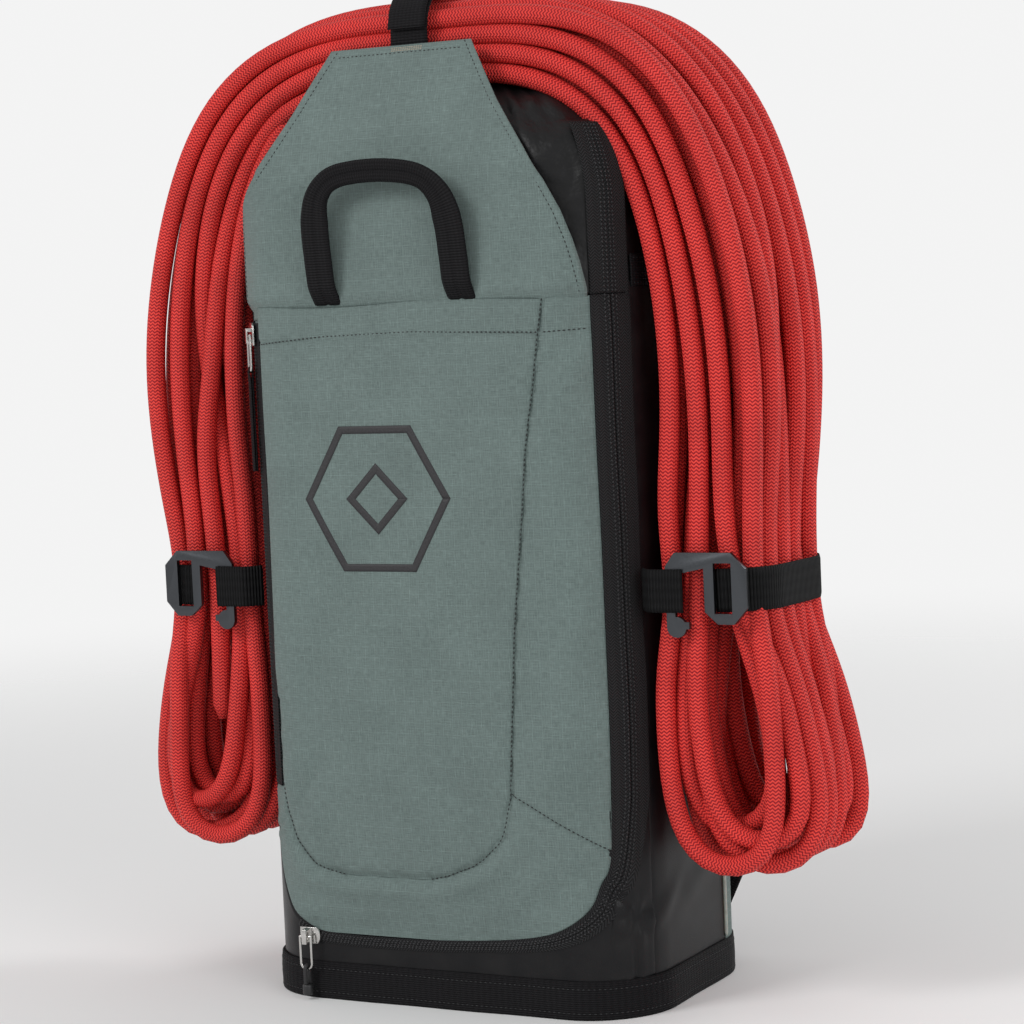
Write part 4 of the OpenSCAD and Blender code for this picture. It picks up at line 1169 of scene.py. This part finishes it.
# ---- Side bands ----
# Topstitched webbing over the joint of the tarpaulin and the collar, on both sides.
for side, node in ((1, "side_band_right"), (-1, "side_band_left")):
    inner_s = 143 if side > 0 else 135.5
    rows = np.linspace(424.5, 443.5, 14)
    ends = sorted([side * inner_s, side * (SIDE_END - 0.5)])
    s, z = spread(rows, ends[0], ends[1], 60)
    edge = 0.35 * np.exp(-((np.abs(z - 434) - 7.2) / 0.9) ** 2)
    panel(node + "_webbing", s, z, 0.95 - edge, 0.8, webbing, "pack", "webbing", node)
    band_stitches = []
    for height in (426.8, 441.2):
        line = np.stack([np.linspace(ends[0] + 2, ends[1] - 2, 40), np.full(40, height)], -1)
        band_stitches.append(on_wall(line, 0.72))
    stitches(node + "_stitches", band_stitches, 3.0, 2.3, 0.3, black_thread, "pack")

# ---- Door lining ----
# The door is backed with the collar's black cloth.
s, z = spread(door_rows, door_left_s + 0.5, door_right_s - 0.5, 60)
panel("door_lining_cloth", s, z, -2.15, 0.9, lining_cloth, "door", "black_fabric", "door_lining")

# ---- Main zip ----
# A size 10 coil zip runs down the right side and round the foot of the door. Its herringbone
# tapes narrow under the door's edge on the way round; the coils show as two sewn rows.


def herringbone():
    """Zip tape: chevron rows of black yarn along the tape, with painted highlight on their crowns and
    painted shade between them.
    """
    material, add, bump, into, shade = material_nodes("zip_tape", 0.62, Specular_IOR_Level=0.15)
    uv = add("UVMap", uv_map="cloth")
    split = add("SeparateXYZ", [uv]).node
    fold = add("Math", [split.outputs[0], 0.0026], operation="PINGPONG")
    slope = add("Math", [fold, split.outputs[1]], operation="ADD")
    rows = add("Math", [add("Math", [slope, 2 * math.pi / 0.0018], operation="MULTIPLY")], operation="SINE")
    # painted highlight on the row crowns and painted shade in the grooves, from the same wave as the bump
    shade((0.018, 0.018, 0.019), add("MapRange", [rows, -1.0, 1.0, 0.35, 1.5]))
    into("Normal", bump(rows, 0.0002))
    return material


zip_tape = herringbone()
low_at = int(np.argmin(np.abs(door_edge[:, 0] + 97) + 1e3 * (door_edge[:, 1] > 60)))
run = door_edge[: low_at + 1][::-1]
run_way = directions(run)
outward = np.stack([run_way[:, 1], -run_way[:, 0]], -1)
run_width = np.interp(run[:, 1], [41, 46, 57, 78, 130], [7, 8, 12, 16, 26.2])
run_width = np.where(run[:, 0] < 40, 7.0, run_width)
MID_SHARE = 0.47


def zip_part(name, from_share, to_share, lift, thick, body, columns, node):
    """A strip of the zip between two shares of its width, following the door's edge."""
    t = np.linspace(from_share, to_share, columns)
    across = run_width[:, None] * t[None]
    s = run[:, 0][:, None] + outward[:, 0][:, None] * across
    z = run[:, 1][:, None] + outward[:, 1][:, None] * across
    ridge = 0.45 * np.exp(-((across - run_width[:, None] * MID_SHARE) / 2.2) ** 2)
    along = np.broadcast_to(path_lengths(run)[:, None], s.shape)
    piece = slab(name, skin(s, z, lift + ridge), skin(s, z, lift - thick + 0 * s), across, along, zip_tape)
    placed(piece, body, "zip_tape", node)


zip_part("main_zip_door_tape", 0.01, MID_SHARE - 0.012, 0.55, 1.3, "door", 14, "main_zip_inner")
zip_part("main_zip_body_tape", MID_SHARE + 0.012, 1.0, 0.55, 1.3, "pack", 14, "main_zip_outer")
chain_rows = {"door": [], "pack": []}
for body, offsets in (("door", (-1.3, -3.6)), ("pack", (1.3, 3.6))):
    for offset in offsets:
        across = run_width * MID_SHARE + offset * np.clip(run_width / 16, 0.5, 1)
        line = np.stack([run[:, 0] + outward[:, 0] * across, run[:, 1] + outward[:, 1] * across], -1)
        chain_rows[body].append(on_wall(even_steps(line, 3), 0.95 if abs(offset) < 2 else 0.72))
chain_thread = thread("zip_thread", (0.022, 0.022, 0.024))
stitches("main_zip_door_chain", chain_rows["door"], 2.5, 2.2, 0.8, chain_thread, "door")
stitches("main_zip_body_chain", chain_rows["pack"], 2.5, 2.2, 0.8, chain_thread, "pack")
rows = np.linspace(421.5, 520, 50)
s, z = spread(rows, 115.6 + 0 * rows, 141.5 + 0 * rows, 26)
middle = 127.8
cloth_lift = 0.3 + 0.45 * np.exp(-((s - middle) / 2.2) ** 2) - 0.9 * np.exp(-((s - middle) / 0.5) ** 2)


def on_dome(points):
    """Points of the upright wall drawn in to the dome's narrower plan above its shoulder."""
    height = points[..., 2]
    across = 50 + np.sqrt(DOME_X ** 2 - np.maximum(height - TOP + DOME_X, 0) ** 2)
    deep = 20 + np.sqrt(DOME_Y ** 2 - np.maximum(height - TOP + DOME_Y, 0) ** 2)
    return points * np.stack([across / HALF_W, deep / HALF_D, 1 + 0 * height], -1)


upper_back = on_dome(skin(s, z, -0.8 + 0 * s))
upper = slab("main_zip_upper_tapes", on_dome(skin(s, z, cloth_lift)), upper_back, s, z, zip_tape)
placed(upper, "pack", "zip_tape", "main_zip_upper")
upper_rows = []
for offset in (-3.6, -1.3, 1.3, 3.6):
    line = np.stack([np.full(50, middle + offset), np.linspace(422, 519, 50)], -1)
    at, facing = on_wall(line, 0.7 if abs(offset) < 2 else 0.47)
    upper_rows.append((on_dome(at), facing))
stitches("main_zip_upper_chain", upper_rows, 2.5, 2.2, 0.8, chain_thread, "pack")

# ---- Pocket zip ----
# A finer zip of the same make closes the flat pocket along the door's left edge.
rows = np.linspace(128.5, 412.5, 110)
for name, left, right, node in (("pocket_zip_edge_tape", -131.8, -121.75, "pocket_zip_door_tape"),
                                ("pocket_zip_pocket_tape", -121.25, -112.4, "pocket_zip_panel_tape")):
    s, z = spread(rows, left + 0 * rows, right + 0 * rows, 10)
    lift = 0.1 + 0.4 * np.exp(-((s - POCKET_ZIP_S) / 1.8) ** 2)
    piece = slab(name, skin(s, z, lift), skin(s, z, -0.9 + 0 * s), s, z, zip_tape)
    placed(piece, "door", "zip_tape", node)
pocket_chain = []
for offset in (-3.0, -1.1, 1.1, 3.0):
    line = np.stack([np.full(90, POCKET_ZIP_S + offset), np.linspace(129, 412, 90)], -1)
    pocket_chain.append(on_wall(line, 0.42 if abs(offset) < 2 else 0.2))
stitches("pocket_zip_chain", pocket_chain, 2.2, 1.8, 0.4, chain_thread, "door")

# ---- Haul handle ----
# A 20 mm webbing folded double and sewn flat, standing up from behind the pocket's hem.
HANDLE_X, HANDLE_FOOT_Z, HANDLE_Y, HANDLE_TILT = -12, 425, -93.5, math.radians(7)
arch = smooth_path(np.array([(-42, -3), (-42, 3), (-42, 22), (-41.5, 46), (-38, 61), (-28, 70.5),
                             (-11, 73.8), (12, 73.5), (32, 69), (43.5, 58), (48, 42), (49, 22), (49, 3),
                             (49, -3)], float), 2.0)
arch_way = directions(arch)
arch_side = np.stack([-arch_way[:, 1], arch_way[:, 0]], -1)
flat_face = np.clip((arch[:, 1] - 46) / 22, 0, 1)
half_width = 9.2 - 2.4 * flat_face
lean_y, lean_z = -math.sin(HANDLE_TILT), math.cos(HANDLE_TILT)
tuck_in = 5.5 * np.clip((9 - arch[:, 1]) / 12, 0, 1) ** 1.5
crown = 1.0 * np.sin(math.pi * np.clip(arch[:, 1] / 73, 0, 1))
path = np.stack([HANDLE_X + arch[:, 0], HANDLE_Y + arch[:, 1] * lean_y - crown + tuck_in,
                 HANDLE_FOOT_Z + arch[:, 1] * lean_z], -1)
width_way = np.stack([arch_side[:, 0], arch_side[:, 1] * lean_y, arch_side[:, 1] * lean_z], -1)
handle = ribbon("haul_handle_webbing", path, width_way, half_width, 3.0 + 0.8 * flat_face - 0.15 * tuck_in,
                webbing, None, "webbing", "haul_handle", groove=0.55)
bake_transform(handle)
paint_node("handle_anchor", webbing)

# ---- Top strap ----
# Smooth black webbing rises from under the lid's end, through the top hook, and folds back.
TOP_STRAP_X = -5
for name, points, body, node in (
        ("top_strap_front_webbing", [(-62, 560), (-61.3, 585), (-54.5, 598), (-44.3, 603.6), (-14, 604.8)],
         "lid", "top_strap_front"),
        ("top_strap_folded_tail", [(-65.4, 582), (-61.7, 594), (-54.5, 602.4), (-42.3, 607), (-14, 608)],
         "lid", "top_strap_tail"),
        ("top_strap_rear_webbing", [(12, 603.3), (40, 603.3), (52.6, 594.4), (88.5, 500.3), (88.8, 470)],
         "pack", "top_strap_rear")):
    flat = smooth_path(np.array(points, float), 2.0)
    path = np.stack([np.full(len(flat), TOP_STRAP_X), flat[:, 0], flat[:, 1]], -1)
    ribbon(name, path, (1, 0, 0), 12.4, 1.45, webbing, body, "webbing", node)

# ---- Side straps ----
# On each side a webbing wraps the waist of the rope and closes in a hook; the hook's free bar
# lies in a short loop of ribbed elastic sewn to the pack.
WAIST_X, WAIST_Y, WAIST_R = 37.3, 51.3, 25.3
STRAP_Z = 250
STRAP_HALF = 12.5
arc = np.linspace(0, math.pi / 2, 14)
front_corner = np.stack([WAIST[0] + WAIST_X - WAIST_R + WAIST_R * np.sin(arc),
                         WAIST[1] - WAIST_Y + WAIST_R * (1 - np.cos(arc))], -1)
back_corner = np.stack([WAIST[0] + WAIST_X - WAIST_R + WAIST_R * np.cos(arc),
                        WAIST[1] + WAIST_Y - WAIST_R + WAIST_R * np.sin(arc)], -1)
wrap_line = even_steps(np.vstack([(177.5, WAIST[1] - WAIST_Y), front_corner, back_corner,
                                  [(150, 42.3), (131.6, 42.3)]]), 2.5)
loop_line = smooth_path(np.array([(130.3, -57.2), (132.4, -59.8), (138.4, -65.6), (146, -65.95),
                                  (159, -65.9)], float), 1.5)
wrap_rise = STRAP_Z + 0.5 * np.sin(path_lengths(wrap_line) / 21)
loop_rise = np.full(len(loop_line), float(STRAP_Z))
elastic = woven("ribbed_elastic", (0.008, 0.008, 0.0085), 0.0019, 0.006, 0.65, 0.0004)
for side, word in SIDES:
    for kind, line, rise, thick in (("wrap_", wrap_line, wrap_rise, 1.6),
                                    ("loop_", loop_line, loop_rise, 1.5)):
        path = np.stack([line[:, 0] * side, line[:, 1], rise], -1)
        ribbon("side_strap_" + kind + word, path, (0, 0, side), STRAP_HALF, thick, elastic, "pack",
               "webbing", "strap_" + kind + word)

# ---- Grab loop ----
# A flat webbing loop sewn into the top of the back.
GRAB_Y, GRAB_Z, GRAB_TILT = 88.5, 448, math.radians(15)
loop_arch = smooth_path(np.array([(-41, 0), (-41, 24), (-38.5, 42), (-28, 52.5), (-12, 55), (12, 55),
                                  (28, 52.5), (38.5, 42), (41, 24), (41, 0)], float), 2.0)
loop_way = directions(loop_arch)
grab_y, grab_z = math.sin(GRAB_TILT), math.cos(GRAB_TILT)
path = np.stack([loop_arch[:, 0], GRAB_Y + loop_arch[:, 1] * grab_y, GRAB_Z + loop_arch[:, 1] * grab_z], -1)
width_way = np.stack([-loop_way[:, 1], loop_way[:, 0] * grab_y, loop_way[:, 0] * grab_z], -1)
ribbon("grab_loop_webbing", path, width_way, 6.9, 2.9, webbing, "rear_grab", "webbing", "grab_loop",
       groove=0.4)

# ---- Back panel and harness ----
# Spacer mesh covers the back; two long pads and a lumbar pad sit on it. The shoulder straps are
# curved padded bands, adjusted by webbing and three-bar buckles from anchors at the foot.


def spacer_mesh():
    """Knitted spacer fabric: a close pattern of small oval openings, painted darker inside as shade in the
    holes.
    """
    material, add, bump, into, shade = material_nodes("spacer_mesh", 0.85, Specular_IOR_Level=0.2)
    place = add("TexCoord").node.outputs["Object"]
    cells = add("TexVoronoi", [place], feature="F1")
    cells.node.inputs["Scale"].default_value = 420
    dots = add("MapRange", [cells, 0.12, 0.42, 0.0, 1.0])
    # painted shade in the openings: darker where the relief sinks into each hole
    shade((0.014, 0.014, 0.015), add("MapRange", [dots, 0.0, 1.0, 0.3, 1.3]))
    into("Normal", bump(dots, 0.0006))
    return material


mesh_cloth = spacer_mesh()
rows = np.linspace(3.4, 428, 70)
s, z = spread(rows, BACK_START + 0 * rows, 2 * BACK_MIDDLE - BACK_START + 0 * rows, 60)
s = np.where(s > BACK_MIDDLE, s - 2 * BACK_MIDDLE, s)
x, y, nx, ny = wall(s)
dip = 0.5 * np.sin(z / 31) * np.sin(np.abs(s) / 19)
back_front = np.stack([x, y - 0.7 + np.minimum(dip, 0), z], -1)
back_cloth = slab("back_panel_mesh", back_front, back_front - (0, 1.2, 0), np.abs(s), z, mesh_cloth)
placed(back_cloth, "pack", "mesh_pad", "back_panel")


def cad_copy(name, node, material):
    """A copy of a CAD node's mesh as a new object at the origin, in one material."""
    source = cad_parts[node]
    piece = bpy.data.objects.new(name, source.data.copy())
    bpy.context.scene.collection.objects.link(piece)
    piece.data.transform(source.matrix_world)
    piece.data.materials.clear()
    piece.data.materials.append(material)
    return piece


def as_modified(piece):
    """The mesh that the piece's modifiers make of it now."""
    graph = bpy.context.evaluated_depsgraph_get()
    return bpy.data.meshes.new_from_object(piece.evaluated_get(graph))


def apply_modifiers(piece):
    """Gives the piece the mesh its modifiers make, and takes them off."""
    piece.data = as_modified(piece)
    piece.modifiers.clear()


def shade_smooth(mesh):
    """Marks every face of the mesh smooth."""
    mesh.polygons.foreach_set("use_smooth", np.ones(len(mesh.polygons), bool))


def places(mesh):
    """The mesh's points as an array, one row each."""
    flat = np.empty(len(mesh.vertices) * 3)
    mesh.vertices.foreach_get("co", flat)
    return flat.reshape(-1, 3)


PAD_INSET = np.array([0.0015, 0.0016, 0.0015])
CLOTH_FRAMES = 16


def inflated(name, node, voxel, cap, pressure, material):
    """A padded copy of a CAD solid: remeshed, drawn in a little, blown up as cloth with its
    travel capped, flat against what it lies on, then subdivided once."""
    pad = cad_copy(name, node, material)
    bpy.context.view_layer.objects.active = pad
    points = places(pad.data)
    low, high = points.min(0), points.max(0)
    middle = (low + high) / 2
    shrunk = middle + (points - middle) * (1 - 2 * PAD_INSET / (high - low))
    pad.data.vertices.foreach_set("co", shrunk.ravel())
    remesh = pad.modifiers.new("remesh", "REMESH")
    remesh.mode = "VOXEL"
    remesh.voxel_size = voxel
    apply_modifiers(pad)
    start = places(pad.data)
    cloth = pad.modifiers.new("cloth", "CLOTH")
    cloth.settings.use_pressure = True
    cloth.settings.uniform_pressure_force = pressure
    cloth.settings.effector_weights.gravity = 0
    cloth.settings.quality = 5
    scene = bpy.context.scene
    for step in range(1, CLOTH_FRAMES + 1):
        scene.frame_set(step)
    end = places(as_modified(pad))
    pad.modifiers.clear()
    scene.frame_set(1)
    move = end - start
    size = np.linalg.norm(move, axis=1)[:, None]
    move *= np.minimum(1, cap / np.maximum(size, 1e-9))
    end = np.clip(start + move, low, high)
    pad.data.vertices.foreach_set("co", end.ravel())
    smooth = pad.modifiers.new("smooth", "SUBSURF")
    smooth.levels = smooth.render_levels = 1
    apply_modifiers(pad)
    pad.data.name = name
    shade_smooth(pad.data)
    placed(pad, "pack", "mesh_pad", node)


for node in ("back_pad_right", "back_pad_left", "lumbar_pad", "shoulder_strap_right", "shoulder_strap_left"):
    inflated(node + "_padding", node, 0.004, 0.004, 4, mesh_cloth)
for side, word in SIDES:
    for name, ends, y, node in (("shoulder_webbing_", ((103.5, 78), (60, 144)), 99.8, "shoulder_webbing_"),
                                ("anchor_webbing_", ((90, 12), (112, 58)), 94.8, "strap_anchor_")):
        (x0, z0), (x1, z1) = ends
        t = np.linspace(0, 1, 24)[:, None]
        path = np.array([side * x0, y, z0]) * (1 - t) + np.array([side * x1, y, z1]) * t
        ribbon(name + word, path, (z1 - z0, 0, -side * (x1 - x0)), 9.9, 1.5, webbing, "pack", "webbing",
               node + word)

# ---- Hooks, buckles and sliders ----
# Hooks are forged alloy, anodised dark grey, their edges bevelled bright by wear. Buckles and
# grips are moulded acetal. Sliders and their wire loops are nickel-plated.


def bevelled(node, width, material, body, slot, segments=2):
    """A copy of a CAD solid with its doubles merged and its edges rounded, standing for it."""
    piece = cad_copy(node + "_finished", node, material)
    shape = bmesh.new()
    shape.from_mesh(piece.data)
    bmesh.ops.remove_doubles(shape, verts=shape.verts, dist=0.00002)
    bmesh.ops.dissolve_limit(shape, angle_limit=math.radians(2), verts=shape.verts, edges=shape.edges)
    shape.to_mesh(piece.data)
    shape.free()
    round_edges = piece.modifiers.new("round", "BEVEL")
    round_edges.width = width
    round_edges.segments = segments
    round_edges.limit_method = "ANGLE"
    round_edges.angle_limit = math.radians(35)
    round_edges.harden_normals = False
    apply_modifiers(piece)
    shade_smooth(piece.data)
    piece.data.set_sharp_from_angle(angle=math.radians(32))
    placed(piece, body, slot, node)


def metal(name, colour, roughness, grain):
    """Plated or anodised metal: a fine tumbled grain in its gloss and relief."""
    material, add, bump, into, shade = material_nodes(name, roughness, Metallic=1.0, Base_Color=colour)
    place = add("TexCoord").node.outputs["Object"]
    speck = add("TexNoise", [place, None, grain, 3.0])
    into("Roughness", add("MapRange", [speck, 0.3, 0.7, roughness * 0.8, roughness * 1.25]))
    into("Normal", bump(speck, 0.00003))
    return material


def moulded(name, colour, roughness):
    """Injection-moulded plastic with a fine spark-eroded texture."""
    material, add, bump, into, shade = material_nodes(name, roughness, Base_Color=colour)
    place = add("TexCoord").node.outputs["Object"]
    speck = add("TexNoise", [place, None, 2600.0, 2.0])
    into("Normal", bump(speck, 0.00005))
    return material


anodised = metal("grey_anodised", (0.085, 0.09, 0.098, 1), 0.36, 900.0)
nickel = metal("nickel_plate", (0.62, 0.61, 0.59, 1), 0.2, 700.0)
acetal = moulded("black_acetal", (0.02, 0.02, 0.021, 1), 0.42)
for word in ("right", "left"):
    bevelled("side_hook_" + word, 0.0007, anodised, "pack", "hook_metal")
    bevelled("ladder_lock_" + word, 0.0006, acetal, "pack", "moulded_plastic")
bevelled("top_hook", 0.0008, anodised, "lid", "hook_metal")
for node, body in (("pocket_zip_slider", "pocket_slider"), ("main_zip_slider", "main_slider"),
                   ("pocket_zip_loop", "pocket_pull"), ("main_zip_loop", "main_pull")):
    bevelled(node, 0.00025, nickel, body, "zip_metal")
bevelled("main_pull_end", 0.0012, acetal, "main_pull", "moulded_plastic", 3)
bevelled("main_pull_cord", 0.0001, moulded("pull_cord_braid", (0.02, 0.02, 0.021, 1), 0.65), "main_pull",
         "pull_cord")
paint_node("frame_sheet", moulded("frame_plastic", (0.7, 0.7, 0.68, 1), 0.5))

# Pull tab of the pocket zip: webbing folded over the wire loop, turned with the slider
TAB_TURN = math.radians(-46.5)
TAB_PLACE = np.array([-84, -40, 405], float)
TAB_OUT = 49.9
fold = smooth_path(np.array([(-0.72, -82.6), (-0.72, -40), (-0.74, -28), (-1.25, -23), (-0.9, -19.6),
                             (0, -18.75), (0.9, -19.6), (1.25, -23), (0.74, -28), (0.72, -40),
                             (0.72, -82.6)], float), 1.0)
local = np.stack([0 * fold[:, 0], fold[:, 0] - TAB_OUT, fold[:, 1]], -1)
cos_tab, sin_tab = math.cos(TAB_TURN), math.sin(TAB_TURN)
path = TAB_PLACE + np.stack([-sin_tab * local[:, 1], cos_tab * local[:, 1], local[:, 2]], -1)
neck = np.exp(-((fold[:, 1] + 19) / 6) ** 4)
ribbon("pocket_pull_webbing", path, (cos_tab, sin_tab, 0), 3.0 - 0.8 * neck, 1.25 - 0.6 * neck, webbing,
       "pocket_pull", "webbing", "pocket_pull_tab")
